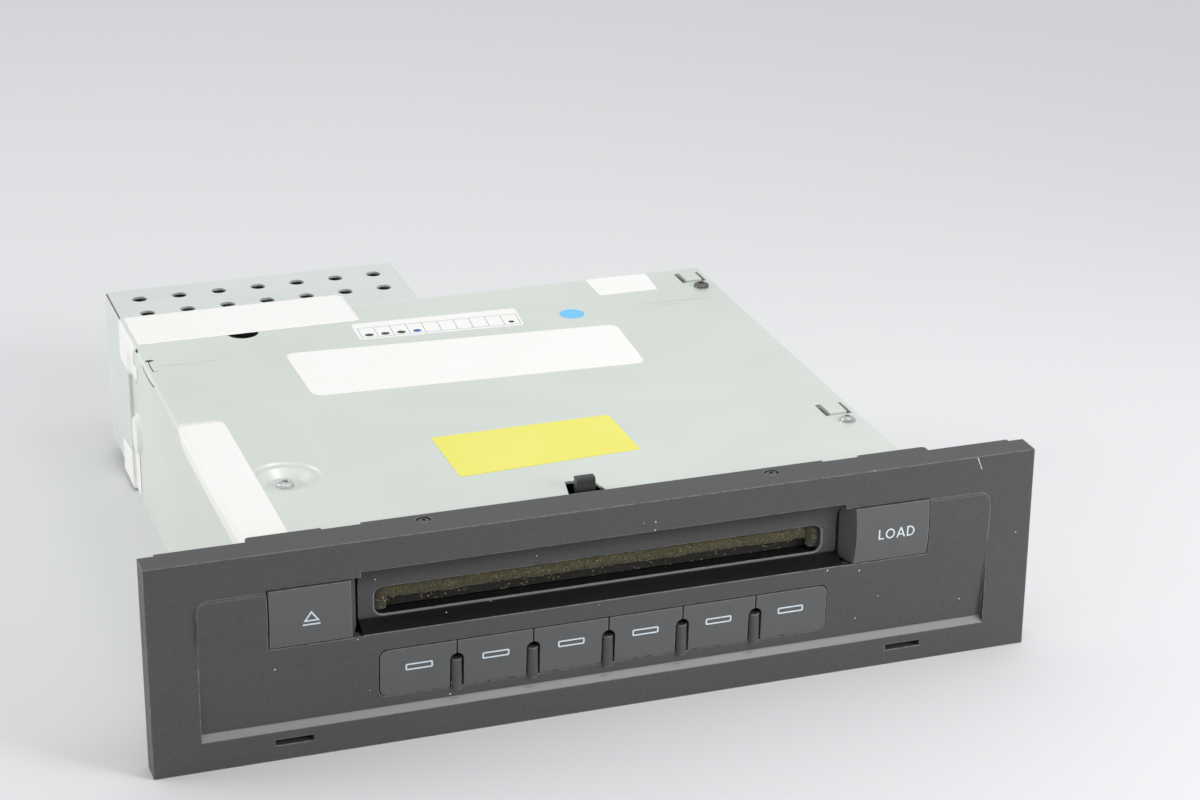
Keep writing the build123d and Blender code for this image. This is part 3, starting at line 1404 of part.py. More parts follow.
with BuildPart() as pickup_lens:
    lens_seat = sled_bottom + sled_height - 2.0
    with BuildSketch(Plane.XY.offset(lens_seat)):
        with Locations((sled_middle, back(disc_depth))):
            RectangleRounded(8, 8, 1.2)
    extrude(amount=1.4)
    with BuildSketch(Plane.XY.offset(lens_seat + 1.4)):
        with Locations((sled_middle, back(disc_depth))):
            Circle(lens_radius)
    extrude(amount=lens_height)
    chamfer(pickup_lens.edges().group_by(Axis.Z)[-1], length=0.5)
finish(pickup_lens, "pickup_lens")

with BuildPart() as sled_screw:
    with BuildSketch(Plane.YZ.offset(rod_left + 0.1)):
        with Locations((back(disc_depth + screw_offset), rod_z)):
            Circle(rod_radius)
    extrude(amount=sled_motor_left + sled_motor_bore - 1 - rod_left - 0.1)
finish(sled_screw, "sled_screw")

with BuildPart() as sled_motor:
    with BuildSketch(Plane.YZ.offset(sled_motor_left)):
        with Locations((back(disc_depth + screw_offset), rod_z)):
            Circle(rod_z - arm_top)
    extrude(amount=sled_motor_length)
    chamfer(sled_motor.edges().group_by(Axis.X)[-1], length=0.7)
    with BuildSketch(Plane.YZ.offset(sled_motor_left - 1)):
        with Locations((back(disc_depth + screw_offset), rod_z)):
            Circle(rod_radius + running)
    extrude(amount=sled_motor_bore + 1, mode=Mode.SUBTRACT)
finish(sled_motor, "sled_motor")

# ---------------------------------------------------------------- clamp
with BuildPart() as clamp_arm:
    with BuildSketch(Plane.YZ.offset(-upright_x - frame_sheet)):
        with Locations((back(clamp_shaft_depth), clamp_shaft_z)):
            Circle(clamp_shaft_radius)
    extrude(amount=2 * (upright_x + frame_sheet))
    with BuildSketch(Plane.XY.offset(clamp_arm_z)):
        with Locations((0, back((disc_depth + clamp_shaft_depth) / 2))):
            Rectangle(2 * clamp_arm_half, clamp_shaft_depth - disc_depth)
        with Locations((0, back(disc_depth))):
            Circle(clamp_arm_half)
    extrude(amount=clamp_arm_thickness)
    with BuildSketch(Plane.XY.offset(clamp_arm_z - 0.5)):
        with Locations((0, back(clamp_shaft_depth))):
            Rectangle(2 * clamp_arm_half, 3.0)
    extrude(amount=0.5 + clamp_arm_thickness)
    with BuildSketch(Plane.XY.offset(clamp_arm_z - 1)):
        with Locations((0, back(disc_depth))):
            Circle(clamper_stem + running)
    extrude(amount=clamp_arm_thickness + 2, mode=Mode.SUBTRACT)
finish(clamp_arm, "clamp_arm")

with BuildPart() as clamper:
    with BuildSketch(Plane.XY.offset(clamp_arm_z - 0.3 - clamper_thickness)):
        with Locations((0, back(disc_depth))):
            Circle(clamper_radius)
    extrude(amount=clamper_thickness)
    chamfer(clamper.edges().group_by(Axis.Z)[0], length=0.5)
    with BuildSketch(Plane.XY.offset(clamp_arm_z - 0.4)):
        with Locations((0, back(disc_depth))):
            Circle(clamper_stem)
    extrude(amount=clamp_arm_thickness + 0.6)
    with BuildSketch(Plane.XY.offset(clamp_arm_z + clamp_arm_thickness + 0.05)):
        with Locations((0, back(disc_depth))):
            Circle(clamper_stem + 1)
    extrude(amount=0.25)
finish(clamper, "clamper")

# ---------------------------------------------------------------- electronics in the rear cage
board_z = cage_bottom + cover_sheet
with BuildPart() as main_board:
    with BuildSketch(Plane.XY.offset(board_z)):
        with Locations((cage_middle, back(cage_front + cage_length / 2))):
            Rectangle(cage_width - 2 * cover_sheet - 0.6, cage_length - 2 * cover_sheet - 0.6)
    extrude(amount=board)
    # chips and capacitors
    with BuildSketch(Plane.XY.offset(board_z + board)):
        with Locations((cage_middle, back(cage_front + chip_behind))):
            with GridLocations(2 * part_offset, 0, 2, 1):
                Rectangle(chip_size, chip_size)
    extrude(amount=chip_height)
    with BuildSketch(Plane.XY.offset(board_z + board)):
        with Locations((cage_middle, back(cage_rear - capacitor_ahead))):
            with GridLocations(2 * part_offset, 0, 2, 1):
                Circle(capacitor_radius)
    extrude(amount=capacitor_height)
finish(main_board, "main_board")

connector_z = board_z + board
with BuildPart() as rear_connector:
    with BuildSketch(Plane.XY.offset(connector_z)):
        with Locations((connector_x, back(cage_rear - connector_length / 2))):
            Rectangle(connector_width, connector_length)
    extrude(amount=connector_height)
    with BuildSketch(facing(cage_rear - connector_length + connector_floor)):
        with Locations((connector_x, connector_z + connector_height / 2)):
            Rectangle(connector_width - 2 * connector_wall, connector_height - 2 * connector_wall)
    extrude(amount=-connector_length, mode=Mode.SUBTRACT)
finish(rear_connector, "rear_connector")

with BuildPart() as connector_pins:
    with BuildSketch(facing(cage_rear - connector_length + connector_floor)):
        with Locations((connector_x, connector_z + connector_wall + 2.2)):
            with GridLocations(2.6, 0, 10, 1):
                Rectangle(0.8, 0.8)
    extrude(amount=-5)
finish(connector_pins, "connector_pins")
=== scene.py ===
import math
import random

import bmesh
import bpy
from bpy.props import FloatProperty, FloatVectorProperty, PointerProperty
from mathutils import Matrix, Vector
from mathutils.bvhtree import BVHTree


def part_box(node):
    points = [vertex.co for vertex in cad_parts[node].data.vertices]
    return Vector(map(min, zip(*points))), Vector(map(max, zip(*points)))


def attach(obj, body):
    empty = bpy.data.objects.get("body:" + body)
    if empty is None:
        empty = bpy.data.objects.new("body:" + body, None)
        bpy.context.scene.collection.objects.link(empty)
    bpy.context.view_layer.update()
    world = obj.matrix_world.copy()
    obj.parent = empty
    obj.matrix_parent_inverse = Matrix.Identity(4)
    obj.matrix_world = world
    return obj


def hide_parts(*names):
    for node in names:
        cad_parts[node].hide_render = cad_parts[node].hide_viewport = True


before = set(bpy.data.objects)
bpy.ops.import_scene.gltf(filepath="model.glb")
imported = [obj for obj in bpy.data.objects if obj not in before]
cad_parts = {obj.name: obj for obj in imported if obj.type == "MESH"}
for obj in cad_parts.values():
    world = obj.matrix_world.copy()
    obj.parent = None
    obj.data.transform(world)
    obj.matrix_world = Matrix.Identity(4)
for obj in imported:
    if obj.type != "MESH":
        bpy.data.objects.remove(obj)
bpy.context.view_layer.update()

bl_info = {
    "name": "Slot-loading disc changer dresser",
    "version": (1, 0, 0),
    "blender": (4, 5, 0),
    "location": "View3D > Sidebar > Changer",
    "description": "Dresses the CAD model of a glovebox disc changer with finishes, stickers and a stage",
    "category": "Object",
}

MM = 0.001

# ---------------------------------------------------------------- places read from the frame
CAGE_DEPTH = 209.4 * MM
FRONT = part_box("rear_cage")[1].y - CAGE_DEPTH  # y of the panel's flat front face
CASE_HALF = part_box("top_cover")[1].x
CASE_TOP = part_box("rear_cage")[1].z
FOLD_RADIUS = 1.3 * MM
SKIRT_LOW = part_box("top_cover")[0].z
CAGE_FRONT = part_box("rear_cage")[0].y
CAGE_FOLD_RISE = 0.16 * MM  # the cage is folded sharper than the cover
CAGE_STEP = 1.0 * MM  # a sticker needs this much to pass onto the cage's fold,
CAGE_EASE = 1.3 * MM  # this much to leave the cage's side
SKIRT_STEP = 1.6 * MM  # and this much to drop off the cover's skirt
WALL_SINK = 1.0 * MM  # the chassis wall stands this far inside the skirt

# the camera that took the photograph, from the panel, case and cage edges
CAMERA_PLACE = (-224.342, -632.764, 362.828)  # x, depth, z in mm
CAMERA_AZIMUTH = -19.275
CAMERA_ELEVATION = 22.363
CAMERA_ROLL = 0.473
CAMERA_LENS = 87.5
CAMERA_SENSOR = 36.0

RAISE = 0.03 * MM  # how far printing stands off what it lies on
RAY_START = -20  # depth in mm from which rays look for the front


def at(x, depth, z):
    """Point in metres from millimetres across, behind the panel's front face, and up."""
    return Vector((x * MM, FRONT + depth * MM, z * MM))


# ---------------------------------------------------------------- settings
class PanelSettings(bpy.types.PropertyGroup):
    panel_colour: FloatVectorProperty(
        name="Panel", description="Colour of the moulded front panel", subtype="COLOR", size=3,
        min=0, max=1, default=(0.052, 0.052, 0.053))
    key_colour: FloatVectorProperty(
        name="Keys", description="Colour of the moulded keys", subtype="COLOR", size=3,
        min=0, max=1, default=(0.082, 0.083, 0.083))
    mark_colour: FloatVectorProperty(
        name="Marks", description="Colour of the printed pictograms", subtype="COLOR", size=3,
        min=0, max=1, default=(0.62, 0.70, 0.76))
    edge_radius: FloatProperty(
        name="Edge radius", description="Rounding of the moulded edges", subtype="DISTANCE",
        unit="LENGTH", default=0.45 * MM)
    mark_line: FloatProperty(
        name="Mark line", description="Line width of the pictograms", subtype="DISTANCE",
        unit="LENGTH", default=0.42 * MM)


class CaseSettings(bpy.types.PropertyGroup):
    zinc_colour: FloatVectorProperty(
        name="Zinc", description="Colour of the cover and chassis sheet", subtype="COLOR", size=3,
        min=0, max=1, default=(0.74, 0.785, 0.73))
    cage_colour: FloatVectorProperty(
        name="Cage", description="Colour of the perforated cage", subtype="COLOR", size=3,
        min=0, max=1, default=(0.73, 0.775, 0.755))
    sheet_edge: FloatProperty(
        name="Sheet edge", description="Rounding of the sheared sheet edges", subtype="DISTANCE",
        unit="LENGTH", default=0.18 * MM)


class StickerSettings(bpy.types.PropertyGroup):
    paper_colour: FloatVectorProperty(
        name="Paper", description="Colour of the white stickers", subtype="COLOR", size=3,
        min=0, max=1, default=(0.86, 0.86, 0.84))
    yellow_colour: FloatVectorProperty(
        name="Yellow", description="Colour of the plain yellow sticker", subtype="COLOR", size=3,
        min=0, max=1, default=(0.80, 0.76, 0.13))
    dot_colour: FloatVectorProperty(
        name="Dot", description="Colour of the round paint dot", subtype="COLOR", size=3,
        min=0, max=1, default=(0.15, 0.52, 0.86))
    thickness: FloatProperty(
        name="Thickness", description="Thickness of a sticker", subtype="DISTANCE",
        unit="LENGTH", default=0.12 * MM)


class FeltSettings(bpy.types.PropertyGroup):
    felt_colour: FloatVectorProperty(
        name="Felt", description="Colour of the slot felt", subtype="COLOR", size=3,
        min=0, max=1, default=(0.060, 0.055, 0.028))
    fibre_length: FloatProperty(
        name="Fibre length", description="Length of the loose fibres", subtype="DISTANCE",
        unit="LENGTH", default=0.9 * MM)


class StageSettings(bpy.types.PropertyGroup):
    floor_colour: FloatVectorProperty(
        name="Floor", description="Colour of the studio floor", subtype="COLOR", size=3,
        min=0, max=1, default=(0.72, 0.72, 0.73))
    sky_strength: FloatProperty(
        name="Sky", description="Strength of the light that comes from all around", default=0.755)
    key_power: FloatProperty(
        name="Key light", description="Power of the large overhead softbox", subtype="POWER", default=9.0)


SETTINGS = {
    "changer_panel": PanelSettings,
    "changer_case": CaseSettings,
    "changer_stickers": StickerSettings,
    "changer_felt": FeltSettings,
    "changer_stage": StageSettings,
}


# ---------------------------------------------------------------- node tools
class Net:
    """A node tree with short ways to add and join nodes."""

    def __init__(self, tree):
        self.tree = tree

    def add(self, kind, **values):
        node = self.tree.nodes.new(kind)
        for key, value in values.items():
            name = key.replace("_", " ")
            if key.islower() and hasattr(node, key):
                setattr(node, key, value)
            elif isinstance(value, bpy.types.NodeSocket):
                self.tree.links.new(value, node.inputs[name])
            else:
                node.inputs[name].default_value = value
        return node

    def maths(self, operation, first, second=0.0):
        node = self.tree.nodes.new("ShaderNodeMath")
        node.operation = operation
        for socket, value in zip(node.inputs, (first, second)):
            if isinstance(value, bpy.types.NodeSocket):
                self.tree.links.new(value, socket)
            else:
                socket.default_value = value
        return node.outputs[0]

    def times(self, first, second):
        return self.maths("MULTIPLY", first, second)

    def plus(self, first, second):
        return self.maths("ADD", first, second)

    def noise(self, vector, scale, detail, roughness=0.5, distortion=0.0):
        """Value of a noise texture."""
        return self.add("ShaderNodeTexNoise", Vector=vector, Scale=scale, Detail=detail, Roughness=roughness,
                        Distortion=distortion).outputs["Fac"]

    def ramp(self, factor, low, high, low_value=0.0, high_value=1.0):
        node = self.tree.nodes.new("ShaderNodeMapRange")
        node.clamp = True
        self.tree.links.new(factor, node.inputs["Value"])
        ends = ("From Min", "From Max", "To Min", "To Max")
        for end, value in zip(ends, (low, high, low_value, high_value)):
            node.inputs[end].default_value = value
        return node.outputs["Result"]

    def blend(self, factor, first, second, mode="MIX"):
        node = self.tree.nodes.new("ShaderNodeMix")
        node.data_type = "RGBA"
        node.blend_type = mode
        for socket, value in ((node.inputs[0], factor), (node.inputs[6], first), (node.inputs[7], second)):
            if isinstance(value, bpy.types.NodeSocket):
                self.tree.links.new(value, socket)
            elif isinstance(value, (int, float)):
                socket.default_value = value
            else:
                socket.default_value = (*value[:3], 1.0)
        return node.outputs[2]

    def link(self, out_socket, in_socket):
        self.tree.links.new(out_socket, in_socket)

    def stretched(self, vector, scale):
        node = self.add("ShaderNodeMapping", Scale=scale)
        self.link(vector, node.inputs["Vector"])
        return node.outputs["Vector"]


def effect_group(name, inputs, outputs, build):
    """Shader node group with named float inputs and outputs."""
    tree = bpy.data.node_groups.new(name, "ShaderNodeTree")
    tree.interface.new_socket(name="Vector", in_out="INPUT", socket_type="NodeSocketVector")
    for socket_name, default in inputs:
        socket = tree.interface.new_socket(name=socket_name, in_out="INPUT", socket_type="NodeSocketFloat")
        socket.default_value = default
    for socket_name in outputs:
        kind = "NodeSocketVector" if socket_name == "Normal" else "NodeSocketFloat"
        tree.interface.new_socket(name=socket_name, in_out="OUTPUT", socket_type=kind)
    net = Net(tree)
    start = net.add("NodeGroupInput")
    end = net.add("NodeGroupOutput")
    results = build(net, start.outputs)
    for socket_name, result in zip(outputs, results):
        net.link(result, end.inputs[socket_name])
    return tree


def build_grain(net, given):
    """Moulded leather-like grain: two sizes of noise."""
    coarse = net.noise(given["Vector"], given["Scale"], 3.0, 0.6)
    fine_scale = net.times(given["Scale"], 2.7)
    fine = net.noise(given["Vector"], fine_scale, 2.0, 0.5)
    height = net.plus(net.times(coarse, 0.65),
                       net.times(fine, 0.35))
    return height, net.ramp(height, 0.35, 0.65)


def build_specks(net, given):
    """Sparse bright dust and small chips."""
    cells = net.add("ShaderNodeTexVoronoi", Scale=given["Scale"], Vector=given["Vector"], Randomness=1.0)
    dot = net.maths("LESS_THAN", cells.outputs["Distance"], given["Size"])
    pick = net.add("ShaderNodeSeparateColor", Color=cells.outputs["Color"])
    chosen = net.maths("LESS_THAN", pick.outputs["Red"], given["Share"])
    return (net.times(dot, chosen),)


def build_edges(net, given):
    """Rounded edges as a normal, and a mask of the edges broken up by noise, for rubbed wear and for painted
    edge highlights.
    """
    rounded = net.add("ShaderNodeBevel", samples=6)
    net.link(given["Radius"], rounded.inputs["Radius"])
    shape = net.add("ShaderNodeNewGeometry")
    angle = net.add("ShaderNodeVectorMath", operation="DOT_PRODUCT")
    net.link(rounded.outputs["Normal"], angle.inputs[0])
    net.link(shape.outputs["Normal"], angle.inputs[1])
    edge = net.ramp(angle.outputs["Value"], 0.998, 0.93)
    noise = net.noise(given["Vector"], given["Scale"], 4.0)
    broken = net.ramp(noise, 0.28, 0.52)
    mask = net.times(net.times(edge, broken), given["Amount"])
    return mask, rounded.outputs["Normal"]


def build_scratches(net, given):
    """Long faint scratches in two directions."""
    total = None
    for turn, stretch in ((0.35, 26.0), (-0.9, 34.0), (1.45, 22.0)):
        turned = net.add("ShaderNodeMapping", Rotation=(0.0, 0.0, turn), Scale=(1.0, stretch, 1.0))
        net.link(given["Vector"], turned.inputs["Vector"])
        noise = net.noise(turned.outputs["Vector"], given["Scale"], 6.0, 0.75)
        line = net.ramp(noise, 0.66, 0.73)
        total = line if total is None else net.maths("MAXIMUM", total, line)
    return (total,)


def build_clouds(net, given):
    """Soft large-scale unevenness."""
    large = net.noise(given["Vector"], given["Scale"], 5.0, 0.55, distortion=0.6)
    return (net.ramp(large, 0.3, 0.7),)


def build_region(net, given):
    """1 inside a box of object space, soft at its borders."""
    place = net.add("ShaderNodeSeparateXYZ", Vector=given["Vector"])
    inside = None
    for axis in "XYZ":
        above = net.maths("GREATER_THAN", place.outputs[axis], given[f"Low {axis}"])
        below = net.maths("LESS_THAN", place.outputs[axis], given[f"High {axis}"])
        both = net.times(above, below)
        inside = both if inside is None else net.times(inside, both)
    return (inside,)


BOX_ENDS = tuple((f"{end} {axis}", 0.0) for axis in "XYZ" for end in ("Low", "High"))
EFFECTS = {  # inputs with their defaults, outputs, builder
    "region": (BOX_ENDS, ("Mask",), build_region),
    "moulded_grain": ((("Scale", 1500.0),), ("Height", "Tone"), build_grain),
    "dust_specks": ((("Scale", 260.0), ("Size", 0.10), ("Share", 0.06)), ("Mask",), build_specks),
    "rounded_edges": ((("Scale", 700.0), ("Amount", 1.0), ("Radius", 0.3 * MM)), ("Mask", "Normal"),
                      build_edges),
    "fine_scratches": ((("Scale", 14.0),), ("Mask",), build_scratches),
    "soft_clouds": ((("Scale", 22.0),), ("Value",), build_clouds),
}


def place_effect(net, name, vector, **values):
    """Put a shared effect into a material, built on first use."""
    tree = bpy.data.node_groups.get(name) or effect_group(name, *EFFECTS[name])
    node = net.tree.nodes.new("ShaderNodeGroup")
    node.node_tree = tree
    net.link(vector, node.inputs["Vector"])
    for key, value in values.items():
        node.inputs[key.replace("_", " ")].default_value = value
    return node.outputs


def clouds_at(net, coords, scale):
    """Value of the shared soft clouds."""
    return place_effect(net, "soft_clouds", coords, Scale=scale)["Value"]


def shade(colour, factor, lift=0.0):
    """A colour made darker or lighter."""
    return tuple(min(1.0, c * factor + lift) for c in colour)


def new_material(name):
    """Material with its node net, its shader and its object coordinates."""
    material = bpy.data.materials.new(name)
    material.use_nodes = True
    net = Net(material.node_tree)
    shader = next(n for n in material.node_tree.nodes if n.type == "BSDF_PRINCIPLED")
    coords = net.add("ShaderNodeTexCoord").outputs["Object"]
    return material, net, shader, coords


def look_of(net, shader, tone, rough):
    """Join colour and roughness to the shader; the roughness may be a plain number."""
    net.link(tone, shader.inputs["Base Color"])
    if isinstance(rough, (int, float)):
        shader.inputs["Roughness"].default_value = rough
    else:
        net.link(rough, shader.inputs["Roughness"])


def bump(net, shader, height, distance, strength=1.0, normal=None):
    """Relief from a height, on top of a normal if one is given."""
    node = net.add("ShaderNodeBump", Strength=strength, Distance=distance)
    net.link(height, node.inputs["Height"])
    if normal:
        net.link(normal, node.inputs["Normal"])
    net.link(node.outputs["Normal"], shader.inputs["Normal"])


def boxes_mask(net, coords, boxes):
    """1 inside any of the boxes, each given by its low and its high corner."""
    total = None
    for low, high in boxes:
        inside = place_effect(net, "region", coords, Low_X=low.x, Low_Y=low.y, Low_Z=low.z,
                              High_X=high.x, High_Y=high.y, High_Z=high.z)["Mask"]
        total = inside if total is None else net.maths("MAXIMUM", total, inside)
    return total


# ---------------------------------------------------------------- finishes
DUST_COLOUR = (0.55, 0.55, 0.53)
# painted shade: near black painted into recesses for their shade and dark reflection
PAINTED_SHADE_BLACK = (0.010, 0.010, 0.011)
HIGHLIGHT_SHARE = 0.85  # how strongly the painted highlight covers the moulding


def moulded_plastic(name, colour, roughness=0.46, grain=1500.0, depth=0.04 * MM, dust=0.05, edge_rub_and_highlight=0.5,
                    radius=0.3 * MM, glossy_painted_shade=(), glossy_painted_highlight=()):
    """Fine-textured moulding with dust, slightly uneven gloss, and edges painted lighter (partly rubbed wear,
    partly painted highlight);
    boxes of painted shade are painted near black for the shade and dark reflection in recesses, boxes of
    painted highlight are painted pale, and both are made glossier."""
    material, net, shader, coords = new_material(name)
    grain_out = place_effect(net, "moulded_grain", coords, Scale=grain)
    clouds = clouds_at(net, coords, 30.0)
    specks = place_effect(net, "dust_specks", coords, Scale=330.0, Size=0.075, Share=dust)["Mask"]
    edges = place_effect(net, "rounded_edges", coords, Scale=500.0, Amount=edge_rub_and_highlight, Radius=radius)
    dark = shade(colour, 0.95)
    light = shade(colour, 1.05)
    tone = net.blend(clouds, dark, light)
    tone = net.blend(net.ramp(grain_out["Tone"], 0, 1, 0.0, 0.12), tone, (0.20, 0.20, 0.21))
    # painted highlight mixed with rubbed wear: the rounded edges are painted lighter
    tone = net.blend(edges["Mask"], tone, shade(colour, 2.6, 0.11))
    rough = net.ramp(clouds, 0, 1, roughness - 0.04, roughness + 0.05)
    rough = net.times(rough, net.ramp(edges["Mask"], 0, 1, 1.0, 0.55))
    # painted highlight: the given boxes are painted pale where the upward-facing bevel catches the light, and
    # made glossier
    if glossy_painted_highlight:
        region = boxes_mask(net, coords, glossy_painted_highlight)
        tone = net.blend(net.times(region, HIGHLIGHT_SHARE), tone, shade(colour, 2.8, 0.09))
        rough = net.times(rough, net.ramp(region, 0, 1, 1.0, 0.62))
    tone = net.blend(specks, tone, DUST_COLOUR)
    # painted shade: the given boxes are painted near black for the shade and dark reflection in the recess;
    # dust stays on top, and they are made glossier
    if glossy_painted_shade:
        region = boxes_mask(net, coords, glossy_painted_shade)
        kept = net.times(region, net.maths("SUBTRACT", 1.0, specks))
        tone = net.blend(kept, tone, PAINTED_SHADE_BLACK)
        rough = net.times(rough, net.ramp(region, 0, 1, 1.0, 0.6))
    look_of(net, shader, tone, rough)
    bump(net, shader, grain_out["Height"], depth, 0.6, edges["Normal"])
    return material


def zinc_sheet(name, colour, warm=0.0, roughness=0.40, scratch=0.35, metal=0.55, radius=0.18 * MM, dull=()):
    """Satin zinc-plated sheet: rolled grain, soft clouds and faint scratches; `dull` holds boxes of
    blunt gloss, `warm` above 0 makes the darker clouds yellower."""
    material, net, shader, coords = new_material(name)
    clouds = clouds_at(net, coords, 16.0)
    scratches = place_effect(net, "fine_scratches", coords, Scale=16.0)["Mask"]
    rolled = net.noise(net.stretched(coords, (1.0, 70.0, 8.0)), 9.0, 5.0, 0.6)
    edges = place_effect(net, "rounded_edges", coords, Scale=900.0, Amount=0.5, Radius=radius)
    base = tuple(c * (0.965 + 0.02 * warm * k) for c, k in zip(colour, (1, 0, -1)))
    tone = net.blend(clouds, base, shade(colour, 1.04))
    tone = net.blend(net.ramp(rolled, 0.35, 0.65, 0.0, 0.05), tone, shade(colour, 0.80))
    tone = net.blend(net.times(scratches, scratch * 0.5), tone, (0.86, 0.86, 0.82))
    tone = net.blend(edges["Mask"], tone, (0.90, 0.90, 0.88))
    net.link(tone, shader.inputs["Base Color"])
    shader.inputs["Metallic"].default_value = metal
    rough = net.ramp(clouds, 0, 1, roughness - 0.03, roughness + 0.06)
    if dull:
        blunt = boxes_mask(net, coords, dull)
        net.link(net.ramp(blunt, 0, 1, metal, 0.0), shader.inputs["Metallic"])
        rough = net.plus(rough, net.times(blunt, 0.35))
    net.link(net.plus(rough, net.times(scratches, 0.10)), shader.inputs["Roughness"])
    height = net.plus(net.times(rolled, 0.5),
                       net.times(scratches, -0.6))
    bump(net, shader, height, 0.02 * MM, 0.4, edges["Normal"])
    return material


def bright_metal(name, colour=(0.72, 0.72, 0.72), roughness=0.22, turned=900.0):
    """Plated or ground metal with fine machining lines."""
    material, net, shader, coords = new_material(name)
    lines = net.noise(net.stretched(coords, (1.0, 1.0, 9.0)), turned, 3.0)
    clouds = clouds_at(net, coords, 90.0)
    tone = net.blend(net.ramp(lines, 0.3, 0.7), shade(colour, 0.85), colour)
    tone = net.blend(net.ramp(clouds, 0.7, 1.0, 0, 0.35), tone, shade(colour, 0.6))
    net.link(tone, shader.inputs["Base Color"])
    shader.inputs["Metallic"].default_value = 1.0
    net.link(net.ramp(clouds, 0, 1, roughness, roughness + 0.12), shader.inputs["Roughness"])
    bump(net, shader, lines, 0.01 * MM, 0.5)
    return material


def rubber(name, colour):
    """Dull rubber with a matt bloom."""
    material, net, shader, coords = new_material(name)
    grain_out = place_effect(net, "moulded_grain", coords, Scale=2200.0)
    clouds = clouds_at(net, coords, 120.0)
    tone = net.blend(net.ramp(clouds, 0, 1, 0, 0.5), colour, shade(colour, 1.8, 0.02))
    look_of(net, shader, tone, net.ramp(grain_out["Tone"], 0, 1, 0.7, 0.9))
    bump(net, shader, grain_out["Height"], 0.06 * MM, 0.9)
    return material


def paper(name, colour, roughness=0.55, crease=0.0):
    """Sticker stock: faint fibres, slight yellowing and handling creases."""
    material, net, shader, coords = new_material(name)
    clouds = clouds_at(net, coords, 40.0)
    fibre = net.noise(net.stretched(coords, (1.0, 3.0, 1.0)), 900.0, 4.0)
    fold = net.noise(coords, 60.0, 2.0, distortion=1.2)
    tone = net.blend(clouds, colour, tuple(c * k for c, k in zip(colour, (0.975, 0.97, 0.94))))
    tone = net.blend(net.ramp(fibre, 0.3, 0.7, 0.0, 0.06), tone, shade(colour, 0.85))
    look_of(net, shader, tone, net.ramp(clouds, 0, 1, roughness - 0.05, roughness + 0.08))
    height = net.plus(fibre, net.times(fold, crease))
    bump(net, shader, height, 0.03 * MM, 0.6)
    return material


def printed_ink(name, colour):
    """Screen-printed ink with slightly starved edges."""
    material, net, shader, coords = new_material(name)
    starved = net.noise(coords, 2600.0, 3.0)
    tone = net.blend(net.ramp(starved, 0.35, 0.6, 0.35, 0.0), colour, shade(colour, 0.55))
    look_of(net, shader, tone, 0.5)
    return material


def felt_finish(name, colour):
    """Olive felt flecked with ochre and grey."""
    material, net, shader, coords = new_material(name)
    matted = net.noise(coords, 2400.0, 5.0, 0.7)
    flecks = place_effect(net, "dust_specks", coords, Scale=1500.0, Size=0.34, Share=0.16)["Mask"]
    dust = place_effect(net, "dust_specks", coords, Scale=1100.0, Size=0.22, Share=0.05)["Mask"]
    tone = net.blend(net.ramp(matted, 0.32, 0.68), shade(colour, 0.30),
                     shade(colour, 2.1))
    tone = net.blend(flecks, tone, (0.21, 0.17, 0.08))
    tone = net.blend(dust, tone, (0.36, 0.34, 0.27))
    look_of(net, shader, tone, 0.95)
    shader.inputs["Sheen Weight"].default_value = 0.25
    bump(net, shader, matted, 0.25 * MM, 1.0)
    return material


def fibre_finish(name, colour):
    """Single loose fibres."""
    material, net, shader, coords = new_material(name)
    varied = net.noise(coords, 1400.0, 2.0)
    tone = net.blend(net.ramp(varied, 0.35, 0.65), shade(colour, 0.5),
                     shade(colour, 1.9))
    look_of(net, shader, tone, 0.8)
    return material


def solder_board(name, colour):
    """Laminate board: solder resist over faint copper runs."""
    material, net, shader, coords = new_material(name)
    runs = net.add("ShaderNodeTexBrick", Scale=160.0, Vector=coords, offset=0.5)
    runs.inputs["Mortar Size"].default_value = 0.03
    clouds = clouds_at(net, coords, 60.0)
    tone = net.blend(clouds, colour, shade(colour, 1.3))
    tone = net.blend(net.times(runs.outputs["Fac"], 0.5), tone, shade(colour, 1.9, 0.02))
    look_of(net, shader, tone, 0.32)
    bump(net, shader, runs.outputs["Fac"], 0.02 * MM, 0.6)
    return material


def clear_lens(name):
    """Moulded pick-up lens with a blue coating."""
    material, net, shader, coords = new_material(name)
    clouds = clouds_at(net, coords, 400.0)
    look_of(net, shader, net.blend(clouds, (0.30, 0.40, 0.70), (0.45, 0.55, 0.85)), 0.06)
    shader.inputs["Transmission Weight"].default_value = 0.8
    shader.inputs["Coat Weight"].default_value = 0.6
    return material


def studio_floor(name, colour):
    """Seamless pale studio sheet with a trace of mottling."""
    material, net, shader, coords = new_material(name)
    clouds = clouds_at(net, coords, 1.5)
    look_of(net, shader, net.blend(clouds, shade(colour, 0.985), colour), 0.75)
    shader.inputs["Specular IOR Level"].default_value = 0.2
    return material


# ---------------------------------------------------------------- mesh tools
def new_object(name, vertices, faces, material, body="housing", smooth=False):
    """Mesh object with its normals pointing outwards, riding on a body of the frame."""
    mesh = bpy.data.meshes.new(name)
    mesh.from_pydata([tuple(v) for v in vertices], [], faces)
    mesh.validate()
    shape = bmesh.new()
    shape.from_mesh(mesh)
    bmesh.ops.recalc_face_normals(shape, faces=shape.faces)
    shape.to_mesh(mesh)
    shape.free()
    for polygon in mesh.polygons:
        polygon.use_smooth = smooth
    made = bpy.data.objects.new(name, mesh)
    bpy.context.scene.collection.objects.link(made)
    mesh.materials.append(material)
    if body:
        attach(made, body)
    return made


def grid_faces(columns, rows, flip=False):
    """Quads between grid points that are kept column by column."""
    span = rows + 1
    corners = (0, 1, span + 1, span) if flip else (0, span, span + 1, 1)
    return [tuple(column * span + row + corner for corner in corners)
            for column in range(columns) for row in range(rows)]


